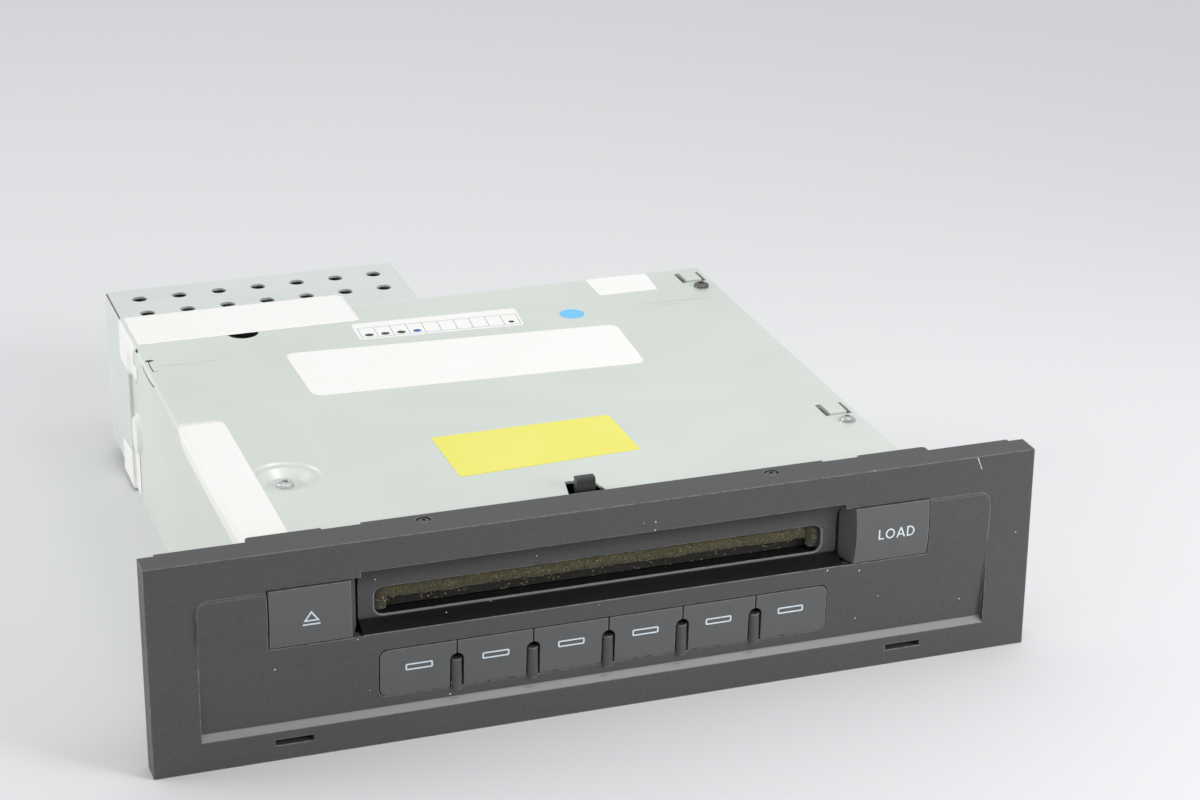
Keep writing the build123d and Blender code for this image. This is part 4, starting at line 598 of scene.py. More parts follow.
def ring_faces(count):
    """Quads between two closed outlines of the same number of points."""
    return [(i, (i + 1) % count, count + (i + 1) % count, count + i) for i in range(count)]


def box_outline(x_low, z_low, x_high, z_high):
    return [(x_low, z_low), (x_high, z_low), (x_high, z_high), (x_low, z_high)]


def thicken(made, thickness, offset):
    """Give a sheet its thickness; offset 1 grows it outwards, 0 to both sides."""
    thick = made.modifiers.new("thick", "SOLIDIFY")
    thick.thickness = thickness
    thick.offset = offset


def dress(node, material):
    """Give a CAD node its finish."""
    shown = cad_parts[node]
    shown.data.materials.clear()
    shown.data.materials.append(material)


def surface_of(*nodes):
    """Ray-casting trees of CAD nodes."""
    trees = []
    for node in nodes:
        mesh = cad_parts[node].data
        trees.append(BVHTree.FromPolygons([v.co.copy() for v in mesh.vertices],
                                          [tuple(p.vertices) for p in mesh.polygons]))
    return trees


def nearest_hit(trees, origin, direction):
    """First point a ray meets on any of the trees, or None."""
    best = None
    for tree in trees:
        place, _, _, distance = tree.ray_cast(origin, direction)
        if place is not None and (best is None or distance < best[1]):
            best = (place, distance)
    return best[0] if best else None


def rounded_outline(corners, radius, steps=5):
    """Polygon with its corners rounded, as 2D points, counter-clockwise or clockwise as given."""
    points = []
    count = len(corners)
    for index in range(count):
        here = Vector(corners[index])
        before = (Vector(corners[index - 1]) - here).normalized()
        after = (Vector(corners[(index + 1) % count]) - here).normalized()
        half = before.angle(after) / 2
        reach = radius / math.tan(half)
        centre = here + (before + after).normalized() * radius / math.sin(half)
        start = (here + before * reach) - centre
        end = (here + after * reach) - centre
        turn = start.angle_signed(end)
        for step in range(steps + 1):
            angle = -turn * step / steps
            points.append(centre + Vector((start.x * math.cos(angle) - start.y * math.sin(angle),
                                           start.x * math.sin(angle) + start.y * math.cos(angle))))
    return points


def sheet_on_cover(name, outline, thickness, material):
    """Thin sheet on the cover: an outline just off it, and the same raised by its thickness."""
    count = len(outline)
    vertices = [on_cover(p, lift) for lift in (0.01 * MM, thickness) for p in outline]
    faces = [tuple(range(count)), tuple(range(2 * count - 1, count - 1, -1))] + ring_faces(count)
    new_object(name, vertices, faces, material)


def on_cover(point, lift):
    """Point over the flat of the cover, from its x and depth in mm."""
    return at(point[0], point[1], 0) + Vector((0, 0, CASE_TOP + lift))


def folded(side_position, depth, lift):
    """Point on the case's left edge: a distance past the start of the fold runs over the roof (below 0),
    round the fold, then down the side, where it sinks onto the chassis wall below the cover's skirt."""
    radius = FOLD_RADIUS + lift
    arc = FOLD_RADIUS * math.pi / 2
    s = side_position * MM
    y = FRONT + depth * MM
    if s < 0:
        return Vector((-CASE_HALF + FOLD_RADIUS - s, y, CASE_TOP + lift))
    if s < arc:
        angle = s / FOLD_RADIUS
        radius += CAGE_FOLD_RISE * eased((y - CAGE_FRONT) / CAGE_STEP) * math.sin(2 * angle)
        return Vector((-CASE_HALF + FOLD_RADIUS - radius * math.sin(angle), y,
                       CASE_TOP - FOLD_RADIUS + radius * math.cos(angle)))
    z = CASE_TOP - FOLD_RADIUS - (s - arc)
    sunk = eased((SKIRT_LOW - z) / SKIRT_STEP) * eased((CAGE_FRONT - y) / CAGE_EASE) * WALL_SINK
    return Vector((-CASE_HALF - lift + sunk, y, z))


def eased(share):
    """0 to 1 with a soft start and a soft end."""
    share = max(0.0, min(1.0, share))
    return share * share * (3 - 2 * share)


def on_face(node, outline, lift=RAISE, trees=None):
    """Points of an outline in x and z (mm), laid on the front of a CAD node."""
    trees = trees or surface_of(node)
    return [nearest_hit(trees, at(p[0], RAY_START, p[1]), Vector((0, 1, 0))) + Vector((0, -lift, 0))
            for p in outline]


def printed_ring(name, outer, inner, node, body, material):
    """Printed outline on a key, a ring between two outlines."""
    new_object(name, on_face(node, list(outer) + list(inner)), ring_faces(len(outer)), material, body=body)


def printed_patch(name, outline, node, body, material):
    """Printed area on a key, filled out to its outline."""
    new_object(name, on_face(node, outline), [tuple(range(len(outline)))], material, body=body)


def grown(corners, amount):
    """Convex outline moved outwards by an amount."""
    result = []
    count = len(corners)
    for index in range(count):
        here = Vector(corners[index])
        before = (here - Vector(corners[index - 1])).normalized()
        after = (Vector(corners[(index + 1) % count]) - here).normalized()
        normal_a = Vector((before.y, -before.x))
        normal_b = Vector((after.y, -after.x))
        middle = (normal_a + normal_b).normalized()
        result.append(here + middle * amount / max(0.2, middle.dot(normal_a)))
    return result


# ---------------------------------------------------------------- the panel and its keys
LEDGE_HALF = 65.5
LEDGE_LOW = 31.0
LEDGE_HIGH = 33.45
SILL_HALF = 106.6
SILL_LOW = 7.8
SILL_HIGH = 9.7
SLOT_HALF = 60.6
SLOT_LOW = 33.9
SLOT_HIGH = 41.4
SLOT_CORNER = 2.2
BEAD_PROFILE = ((0.08, 0.02), (0.20, 0.17), (0.38, 0.24), (0.56, 0.17), (0.68, 0.02))  # out, proud
BEAD_REACH = 40.4  # the bead runs out below the top of the mouth


class CHANGER_OT_panel(bpy.types.Operator):
    """Finish the front panel and its keys"""
    bl_idname = "changer.panel"
    bl_label = "Front panel"

    def execute(self, context):
        look = context.scene.changer_panel
        # painted shade: the recessed ledge under the slot and the slot's floor
        ledge_shade = ((at(-LEDGE_HALF, 0.25, LEDGE_LOW), at(LEDGE_HALF, 8.0, LEDGE_HIGH)),
                 (at(-SLOT_HALF, 5.7, LEDGE_HIGH), at(SLOT_HALF, 14.0, SLOT_LOW + 0.6)))
        # painted highlight: the upward-facing bevel along the foot of the field
        sill_highlight = ((at(-SILL_HALF, 0.02, SILL_LOW), at(SILL_HALF, 2.0, SILL_HIGH)),)
        panel = moulded_plastic("panel_plastic", look.panel_colour, radius=look.edge_radius, dust=0.08,
                                edge_rub_and_highlight=0.8, glossy_painted_shade=ledge_shade, glossy_painted_highlight=sill_highlight)
        key = moulded_plastic("key_plastic", look.key_colour, roughness=0.40, dust=0.02, edge_rub_and_highlight=0.35,
                              radius=look.edge_radius)
        dress("front_panel", panel)
        for name in ["eject_button", "load_button"] + [f"disc_button_{i}" for i in range(1, 7)]:
            dress(name, key)
        # painted highlight: the rim is painted nearly three times lighter than the panel, where its edge
        # catches the light
        self.slot_bead(moulded_plastic("bead_highlight_plastic", shade(look.panel_colour, 2.9), roughness=0.28,
                                       dust=0.03, edge_rub_and_highlight=0.2))
        return {"FINISHED"}

    @staticmethod
    def slot_bead(material):
        """Rounded rim that runs round the mouth of the slot."""
        trees = surface_of("front_panel")
        mouth = box_outline(-SLOT_HALF, SLOT_LOW, SLOT_HALF, SLOT_HIGH)
        vertices = []
        for out, proud in BEAD_PROFILE:
            outline = rounded_outline(grown(mouth, out), SLOT_CORNER + out, 10)
            count = len(outline)
            vertices += on_face("front_panel", outline, proud * MM, trees)
        faces = []
        for ring in range(len(BEAD_PROFILE) - 1):
            for i in range(count):
                a, b = ring * count + i, ring * count + (i + 1) % count
                if max(vertices[a].z, vertices[b].z) < BEAD_REACH * MM:
                    faces.append((a, b, b + count, a + count))
        new_object("slot_bead", vertices, faces, material, smooth=True)


MARK_WIDTH = 7.2
MARK_HEIGHT = 1.9
MARK_Z = 20.5
ROW_PITCH = 20.25
TRIANGLE_HALF = 2.1
TRIANGLE_TALL = 2.9
EJECT_BAR_HALF = 2.25
EJECT_BAR_DROP = 0.85  # from the triangle's foot to the bar's middle
EJECT_BAR_LINE = 0.44
LETTER_HEIGHT = 2.9
LETTER_GAP = 0.45
LETTER_WIDTHS = (1.55, 2.65, 2.55, 2.20)  # L, O, A, D
A_BAR_HALF = 0.62
A_BAR_SHARE = 0.24  # height of the A's bar in the letter
LOAD_CENTRE = (79.6, 39.2)
EJECT_FOOT = (-78.3, 38.0)


class CHANGER_OT_marks(bpy.types.Operator):
    """Print the pictograms on the keys"""
    bl_idname = "changer.marks"
    bl_label = "Key pictograms"

    def execute(self, context):
        look = context.scene.changer_panel
        ink = printed_ink("mark_ink", look.mark_colour)
        line = look.mark_line / MM
        for index in range(6):
            x = (index - 2.5) * ROW_PITCH
            corners = box_outline(x - MARK_WIDTH / 2, MARK_Z - MARK_HEIGHT / 2,
                                  x + MARK_WIDTH / 2, MARK_Z + MARK_HEIGHT / 2)
            outer = rounded_outline(corners, 0.45)
            inner = rounded_outline(grown(corners, -line), 0.15)
            printed_ring(f"mark_disc_{index + 1}", outer, inner, f"disc_button_{index + 1}",
                         f"disc_key_{index + 1}", ink)
        # eject: a triangle over a bar
        x, base = EJECT_FOOT
        triangle = [(x - TRIANGLE_HALF, base), (x + TRIANGLE_HALF, base), (x, base + TRIANGLE_TALL)]
        key = ("eject_button", "eject_key", ink)
        printed_ring("mark_eject_triangle", triangle, grown(triangle, -line), *key)
        half, bar = EJECT_BAR_HALF, base - EJECT_BAR_DROP
        printed_patch("mark_eject_bar", box_outline(x - half, bar - EJECT_BAR_LINE / 2, x + half,
                                                    bar + EJECT_BAR_LINE / 2), *key)
        self.load_letters(line, ink)
        return {"FINISHED"}

    @staticmethod
    def load_letters(line, ink):
        """The plain word on the load key, each letter drawn from its strokes."""
        key = ("load_button", "load_key", ink)
        widths = LETTER_WIDTHS
        left = LOAD_CENTRE[0] - (sum(widths) + 3 * LETTER_GAP) / 2
        low = LOAD_CENTRE[1] - LETTER_HEIGHT / 2
        tall = LETTER_HEIGHT
        starts = [left + sum(widths[:i]) + i * LETTER_GAP for i in range(4)]
        x, w = starts[0], widths[0]
        printed_patch("mark_load_l", [(x, low), (x + w, low), (x + w, low + line), (x + line, low + line),
                                      (x + line, low + tall), (x, low + tall)], *key)
        x, w = starts[1] + widths[1] / 2, widths[1] / 2
        rings = []
        for shrink in (0.0, line):
            rings.append([(x + (w - shrink) * math.cos(a), low + tall / 2 + (tall / 2 - shrink) * math.sin(a))
                          for a in (2 * math.pi * i / 32 for i in range(32))])
        printed_ring("mark_load_o", *rings, *key)
        x, w = starts[2], widths[2]
        middle, foot = x + w / 2, line * 1.08
        printed_patch("mark_load_a", [(x, low), (x + foot, low), (middle, low + tall - line * 1.3),
                                      (x + w - foot, low), (x + w, low), (middle + line * 0.55, low + tall),
                                      (middle - line * 0.55, low + tall)], *key)
        bar, foot, top = A_BAR_HALF, low + tall * A_BAR_SHARE, low + tall * A_BAR_SHARE + line * 0.9
        printed_patch("mark_load_a_bar", [(middle - bar, foot), (middle + bar, foot),
                                          (middle + bar * 0.72, top), (middle - bar * 0.72, top)], *key)
        x, w = starts[3], widths[3]
        rings = []
        for shrink in (0.0, line):
            arc = [(x + w * 0.42 + (w * 0.58 - shrink) * math.cos(a),
                    low + tall / 2 + (tall / 2 - shrink) * math.sin(a))
                   for a in (math.pi * (i / 16 - 0.5) for i in range(17))]
            rings.append([(x + shrink, low + shrink)] + arc + [(x + shrink, low + tall - shrink)])
        printed_ring("mark_load_d", *rings, *key)


# ---------------------------------------------------------------- felt
FELT_TOP = 41.3
FELT_BOTTOM = 37.8
FELT_FRONT = 8.1
FELT_THICK = 1.0
FELT_HALF = 58.3
FELT_COLUMNS = 420
FELT_ROWS = 12
FELT_SHADE = (0.011, 0.010, 0.008)  # painted shade: a dark sheet below the felt stands for the shadow inside the mouth of the slot
SHADE_HEIGHTS = (34.0, 35.2, 36.6, 38.4)
SHADE_BACK = 1.5  # how far it lies behind the felt's front
PLUG_COLOUR = (0.034, 0.032, 0.020)
PLUG_INNER, PLUG_WIDE = 57.6, 2.7
PLUG_LOW, PLUG_TALL = 34.9, 6.0
PLUG_FRONT, PLUG_BULGE, PLUG_THICK = 8.2, 0.8, 1.2
PLUG_ROWS, PLUG_COLUMNS = 10, 6
FIBRES = 3600
FIBRES_AT_EDGE = 0.35  # share of the fibres that hang at the lower edge
FIBRE_HALF_WIDTH = 0.035
THREADS = ((-58.4, 38.4, 0.7, -1.4), (-48.4, 37.2, 0.5, -0.7))  # x, z and reach of the caught threads
THREAD_COLOUR = (0.55, 0.22, 0.05)


class CHANGER_OT_felt(bpy.types.Operator):
    """Lay the felt and its loose fibres in the disc slot"""
    bl_idname = "changer.felt"
    bl_label = "Slot felt"

    def execute(self, context):
        look = context.scene.changer_felt
        chance = random.Random(11)
        self.curtain(chance, look.felt_colour)
        self.plugs(chance)
        self.fibres(chance, look)
        self.threads()
        return {"FINISHED"}

    @staticmethod
    def curtain(chance, colour):
        """Upper felt with its wavy lower edge, and below it a dark sheet of painted shade."""
        felt = felt_finish("slot_felt_wool", colour)
        vertices = []
        edge = [chance.uniform(-0.16, 0.16) for _ in range(FELT_COLUMNS + 1)]
        for column in range(FELT_COLUMNS + 1):
            x = -FELT_HALF + 2 * FELT_HALF * column / FELT_COLUMNS
            wave = 0.18 * math.sin(x * 0.21 + 1.0) + 0.10 * math.sin(x * 0.83)
            low = FELT_BOTTOM + wave + edge[column]
            for row in range(FELT_ROWS + 1):
                share = row / FELT_ROWS
                depth = FELT_FRONT + 1.1 * share + chance.uniform(-0.10, 0.10)
                depth += 0.15 * math.sin(x * 0.5 + share * 3) + (0.5 if row == 0 else 0.0)
                vertices.append(at(x, depth, low + (FELT_TOP - low) * share))
        sheet = new_object("felt_curtain", vertices, grid_faces(FELT_COLUMNS, FELT_ROWS), felt,
                           smooth=True)
        thicken(sheet, FELT_THICK * MM, 1.0)
        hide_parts("slot_felt")
        # painted shade: a dark felt-textured sheet fills the lower slot, where only shadow is seen
        dark = felt_finish("painted_slot_shade", FELT_SHADE)
        columns = FELT_COLUMNS // 3
        vertices = [at(-FELT_HALF + 2 * FELT_HALF * column / columns,
                       FELT_FRONT + SHADE_BACK + chance.uniform(-0.1, 0.1), z)
                    for column in range(columns + 1) for z in SHADE_HEIGHTS]
        new_object("slot_shade_strip", vertices, grid_faces(columns, len(SHADE_HEIGHTS) - 1), dark,
                   smooth=True)

    @staticmethod
    def plugs(chance):
        """Padded plugs at both ends of the slot."""
        felt = felt_finish("plug_felt_wool", PLUG_COLOUR)
        for side, name in ((-1, "left"), (1, "right")):
            vertices = []
            for row in range(PLUG_ROWS + 1):
                for column in range(PLUG_COLUMNS + 1):
                    up, out = row / PLUG_ROWS, column / PLUG_COLUMNS
                    bulge = PLUG_BULGE * math.sin(math.pi * up) * math.sin(math.pi * out)
                    vertices.append(at(side * (PLUG_INNER + PLUG_WIDE * out),
                                       PLUG_FRONT - bulge + chance.uniform(-0.12, 0.12),
                                       PLUG_LOW + PLUG_TALL * up))
            plug = new_object(f"felt_plug_{name}", vertices, grid_faces(PLUG_ROWS, PLUG_COLUMNS, flip=True),
                              felt, smooth=True)
            thicken(plug, PLUG_THICK * MM, 1.0)

    @staticmethod
    def fibres(chance, look):
        """Loose fibres over the face of the felt and along its lower edge."""
        wool = fibre_finish("loose_wool", shade(look.felt_colour, 1.4))
        length = look.fibre_length / MM
        vertices, faces = [], []
        for _ in range(FIBRES):
            x = chance.uniform(-FELT_HALF, FELT_HALF)
            low_edge = chance.random() < FIBRES_AT_EDGE
            z = FELT_BOTTOM + (chance.uniform(-0.25, 0.3) if low_edge else chance.uniform(0.1, 4.2))
            depth = FELT_FRONT - FELT_THICK + (z - FELT_BOTTOM) * 0.25 - chance.uniform(0.0, 0.25)
            angle = chance.uniform(0, math.pi)
            reach = length * chance.uniform(0.35, 1.0) / 2
            dx, dz = math.cos(angle) * reach, math.sin(angle) * reach
            nx, nz = -math.sin(angle) * FIBRE_HALF_WIDTH, math.cos(angle) * FIBRE_HALF_WIDTH
            lean = chance.uniform(-0.25, 0.1)
            start = len(vertices)
            vertices += [at(x - dx, depth, z - dz), at(x + nx, depth + lean, z + nz),
                         at(x + dx, depth + lean * 0.5, z + dz), at(x - nx, depth + lean, z - nz)]
            faces.append((start, start + 1, start + 2, start + 3))
        new_object("felt_fibres", vertices, faces, wool)

    @staticmethod
    def threads():
        """Two orange threads caught at the left end."""
        thread = fibre_finish("orange_thread", THREAD_COLOUR)
        for index, (x, z, dx, dz) in enumerate(THREADS):
            vertices = []
            for p in (at(x, 5.9, z), at(x + dx * 0.4, 5.7, z + dz * 0.55), at(x + dx, 5.9, z + dz)):
                vertices += [p + Vector((-0.09 * MM, 0, 0)), p + Vector((0.09 * MM, 0, 0.02 * MM))]
            new_object(f"caught_thread_{index + 1}", vertices, grid_faces(2, 1, flip=True), thread)


# ---------------------------------------------------------------- sheet metal
BOSS_BOX = ((-93, 161.5, 14.2), (-89.92, 173.5, 28.8))  # the pressed boss in the chassis' left wall
LIP_OUTLINE = ((-90.35, 4.6), (-89.86, 4.6), (-89.86, 45.6), (-90.35, 45.6))  # x, z of the cage's turned edge
LIP_STEP = 0.04  # how far the lip stands before the joint
BLACK_MOULDING = (0.018, 0.018, 0.019)


class CHANGER_OT_case(bpy.types.Operator):
    """Finish the cover, chassis and rear cage"""
    bl_idname = "changer.case"
    bl_label = "Case"

    def execute(self, context):
        look = context.scene.changer_case
        edge = look.sheet_edge
        dress("top_cover", zinc_sheet("cover_zinc", look.zinc_colour, radius=edge))
        boss = tuple(at(*corner) for corner in BOSS_BOX)
        dress("chassis", zinc_sheet("chassis_zinc", look.zinc_colour, warm=1.0, radius=edge, dull=(boss,)))
        # the sheared edge of the cage's sheet, where it meets the cover
        cut = (Vector((-0.1, CAGE_FRONT - 0.1 * MM, 0)), Vector((0.1, CAGE_FRONT + 0.25 * MM, 0.06)))
        dress("rear_cage", zinc_sheet("cage_zinc", look.cage_colour, scratch=0.2, radius=edge, dull=(cut,)))
        depth = (CAGE_FRONT - FRONT) / MM - LIP_STEP
        new_object("cage_joint_lip", [at(x, depth, z) for x, z in LIP_OUTLINE], [(0, 1, 2, 3)],
                   zinc_sheet("lip_zinc", look.cage_colour, metal=0.1))
        black = moulded_plastic("black_moulding", BLACK_MOULDING, roughness=0.36, dust=0.01, edge_rub_and_highlight=0.2)
        dress("latch_clip", black)
        dress("rear_connector", black)
        return {"FINISHED"}


SCREW_SIDES = 40
DOME_STEPS, DOME_TURN = 6, 13  # rings of the head's dome, degrees from one to the next
RIM_SHARE = 0.28  # height of the head's straight rim
FLANGE_THICK = 0.25
RECESS_TURN = 0.4  # how far the cross recess is turned


def turned_screw(name, place, radius, height, material, flange=0.0):
    """Pan-head screw turned from a profile in mm, with a tapered cross recess."""
    profile = [(0.0, height)]
    for step in range(1, DOME_STEPS + 1):
        angle = math.radians(90 - step * DOME_TURN)
        profile.append((radius * math.cos(angle), height * (0.35 + 0.65 * math.sin(angle))))
    profile += [(radius, height * RIM_SHARE), (radius, 0.0)]
    if flange:
        profile[-1:] = [(radius, 0.30), (radius + flange, FLANGE_THICK), (radius + flange, 0.0)]
    sides = SCREW_SIDES
    vertices = [place + Vector((0, 0, profile[0][1] * MM))]
    faces = []
    for r, z in profile[1:]:
        for side in range(sides):
            angle = 2 * math.pi * side / sides
            vertices.append(place + Vector((r * MM * math.cos(angle), r * MM * math.sin(angle), z * MM)))
    for side in range(sides):
        faces.append((0, 1 + side, 1 + (side + 1) % sides))
        for ring in range(len(profile) - 2):
            a = 1 + ring * sides
            faces.append((a + side, a + (side + 1) % sides, a + sides + (side + 1) % sides, a + sides + side))
    last = 1 + (len(profile) - 2) * sides
    faces.append(tuple(range(last, last + sides)))
    head = new_object(name, vertices, faces, material)
    # cross recess
    arm, width, depth = radius * 0.62, radius * 0.15, height * 0.6
    cutter_mesh = bpy.data.meshes.new(name + "_recess")
    shape = bmesh.new()
    for turn in (RECESS_TURN, RECESS_TURN + math.pi / 2):
        made = bmesh.ops.create_cube(shape, size=1.0)["verts"]
        for v in made:
            taper = 0.45 if v.co.z < 0 else 1.0
            local = Vector((v.co.x * 2 * arm * taper, v.co.y * 2 * width, v.co.z * 2 * depth + height))
            local.rotate(Matrix.Rotation(turn, 3, "Z"))
            v.co = place + local * MM
    shape.to_mesh(cutter_mesh)
    shape.free()
    cutter = bpy.data.objects.new(name + "_recess", cutter_mesh)
    bpy.context.scene.collection.objects.link(cutter)
    cut = head.modifiers.new("recess", "BOOLEAN")
    cut.operation = "DIFFERENCE"
    cut.solver = "EXACT"
    cut.use_self = True
    cut.object = cutter
    bpy.context.view_layer.update()
    result = bpy.data.meshes.new_from_object(head.evaluated_get(bpy.context.evaluated_depsgraph_get()))
    head.modifiers.clear()
    head.data = result
    bpy.data.objects.remove(cutter)
    return head


COVER_FRONT_SCREW = (1.9, 1.4)  # radius and height of the heads, in mm
COVER_REAR_SCREW = (2.35, 1.3)
DIMPLE_SCREW = (2.3, 1.4)
PANEL_SCREW = (1.7, 0.8)
PANEL_SCREW_INSET = 1.75  # centre of the head from its outer side
PANEL_SCREW_SUNK = 0.75


class CHANGER_OT_screws(bpy.types.Operator):
    """Turn the screws that show"""
    bl_idname = "changer.screws"
    bl_label = "Screws"

    def execute(self, context):
        bright = bright_metal("bright_screw")
        dark = bright_metal("dark_screw", (0.20, 0.19, 0.18), roughness=0.35)
        low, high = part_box("cover_screws")
        x, head = (low.x + high.x) / 2, (high.x - low.x) / 2
        front = turned_screw("screw_cover_front", Vector((x, low.y + head, CASE_TOP)), *COVER_FRONT_SCREW,
                             bright, flange=0.5)
        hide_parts("cover_screws")
        turned_screw("screw_cover_rear", Vector((x, high.y - head, CASE_TOP)), *COVER_REAR_SCREW, dark)
        low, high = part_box("dimple_screw")
        middle = (low + high) / 2
        seat = high.z - DIMPLE_SCREW[1] * MM
        dimple = turned_screw("screw_dimple", Vector((middle.x, middle.y, seat)), *DIMPLE_SCREW, bright)
        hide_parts("dimple_screw")
        low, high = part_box("panel_screws")
        for side, name in ((-1, "left"), (1, "right")):
            place = Vector((side * (high.x - PANEL_SCREW_INSET * MM), (low.y + high.y) / 2,
                            high.z - PANEL_SCREW_SUNK * MM))
            turned_screw(f"screw_panel_{name}", place, *PANEL_SCREW, dark)
        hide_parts("panel_screws")
        dress("cage_screws", bright)
        return {"FINISHED"}


# ---------------------------------------------------------------- small marks of the sheet metal
# lines on the fold: depth, and the two distances round the fold between which the line lies
CAGE_GAP = ((208.8, 0.75, 1.2), (186.4, 0.75, 1.2))
CORNER_GAP = ((160.6, 0.8, 1.7), (158.0, 0.9, 1.5))
LANCE_PATH = ((149.8, 2.0, 2.4), (145.0, 2.6, 3.0), (139.0, 2.6, 3.1), (134.5, 2.2, 2.7), (131.5, 1.6, 2.0))
# lines on the cover: x and depth
LANCE_BAR = ((-90.0, 149.4), (-89.2, 148.9), (-87.7, 149.3))
LANCE_LIP = ((-89.3, 148.9), (-89.5, 144.5), (-89.4, 140.4), (-87.9, 140.2))
SCUFFS = (  # start, end, width
    ((-86.5, 145.2), (-75.4, 142.8), 0.30),
    ((-75.1, 145.4), (-65.4, 142.7), 0.25),
    ((62.0, 149.8), (85.0, 148.6), 0.30),
    ((66.5, 147.0), (78.0, 146.2), 0.20),
)


NICK = ((102.6, 57.1), (102.9, 56.3), (103.4, 55.0), (104.0, 53.6))  # x, z on the panel
NICK_HALF_WIDTHS = (0.16, 0.16, 0.10, 0.10)


def strip_along(name, path, width, material):
    """Thin strip with tapered ends that follows a line on the cover."""
    points = [Vector(p) for p in path]
    vertices = []
    for index, here in enumerate(points):
        along = (points[min(index + 1, len(points) - 1)] - points[max(index - 1, 0)]).normalized()
        taper = 0.35 if index in (0, len(points) - 1) else 1.0
        side = Vector((-along.y, along.x)) * width / 2 * taper
        vertices += [on_cover(here + side, RAISE), on_cover(here - side, RAISE)]
    new_object(name, vertices, grid_faces(len(points) - 1, 1, flip=True), material)


class CHANGER_OT_wear(bpy.types.Operator):
    """Mark the slits, scuffs and nicks of the sheet metal"""
    bl_idname = "changer.wear"
    bl_label = "Slits and scuffs"

    def execute(self, context):
        dark = printed_ink("slit_shadow", (0.035, 0.028, 0.022))
        bare = bright_metal("bare_scuff", (0.92, 0.92, 0.90), roughness=0.35)
        strip_along("lance_bar", LANCE_BAR, 1.8, dark)
        strip_along("lance_lip", LANCE_LIP, 0.32, dark)
        seam = printed_ink("fold_gap", (0.17, 0.135, 0.095))
        self.fold_line("cage_fold_gap", CAGE_GAP, seam)
        self.fold_line("cover_corner_gap", CORNER_GAP, dark)
        self.fold_line("lance_slit", LANCE_PATH, seam)
        for index, (start, end, width) in enumerate(SCUFFS):
            middle = ((start[0] * 0.6 + end[0] * 0.4), start[1] * 0.55 + end[1] * 0.45)
            strip_along(f"scuff_{index + 1}", (start, middle, end), width, bare)
        pale = printed_ink("pale_nick", (0.55, 0.55, 0.54))
        vertices = [at(x + side * width, -RAISE / MM, z)
                    for (x, z), width in zip(NICK, NICK_HALF_WIDTHS) for side in (-1, 1)]
        new_object("panel_nick", vertices, grid_faces(len(NICK) - 1, 1, flip=True), pale)
        return {"FINISHED"}

    @staticmethod
    def fold_line(name, path, material):
        """Dark line along the left fold."""
        vertices = [folded(start + (end - start) * share, depth, 2 * RAISE)
                    for depth, start, end in path for share in (0, 0.5, 1)]
        new_object(name, vertices, grid_faces(len(path) - 1, 2, flip=True), material)


# ---------------------------------------------------------------- stickers
STICKERS = (  # name, corners as x and depth, corner radius, stock
    ("sticker_main", ((-50.6, 142.4), (49.1, 135.4), (47.1, 103.7), (-50.3, 108.2)), 3.0, "paper"),
    ("sticker_strip", ((-26.3, 159.7), (24.5, 157.8), (23.0, 143.9), (-26.8, 146.6)), 1.2, "paper"),
    ("sticker_small", ((52.9, 175.0), (72.6, 174.6), (71.6, 160.5), (52.7, 160.6)), 0.6, "paper"),
    ("sticker_yellow", ((-27.3, 69.4), (23.8, 69.9), (24.1, 44.7), (-27.2, 41.9)), 0.8, "yellow"),
)
PAINT_DOT, PAINT_DOT_RADIUS, DOT_STEPS = (39.5, 148.0), 3.75, 48
SIDE_LABEL = (  # depth, low and high z
    (190.0, 1.4, 12.0), (175.3, 1.0, 13.6), (174.6, 1.0, 13.7), (168.0, 0.8, 14.2))
LABEL_ROWS = 4
# the seals over the fold: depths between which they lie on the roof and on the side, the distances
# they reach over the roof and down the side, their corner radius; the front one gives only its rear
# depths, since it starts at the cover's front edge
FRONT_SEAL = (100.0, 92.0, -11.4, 5.2, 2.5)
REAR_SEAL = ((162.4, 186.0), (165.6, 187.2), -67.0, 14.4, 1.0)
SEAL_START = 0.4  # behind the cover's front edge
SEAL_ACROSS, SEAL_ALONG = 44, 30
RULE_BOXES = 10
RULE_WIDTH = 0.18
RULE_NEAR = ((-25.7, 147.6), (22.3, 145.0))
RULE_FAR = ((-25.4, 155.6), (23.2, 153.2))
PEN_DOTS = ((0, "black"), (1, "black"), (2, "black"), (3, "blue"), (9, "black"))  # box and pen
PEN_REACH, PEN_STEPS = 1.1, 18


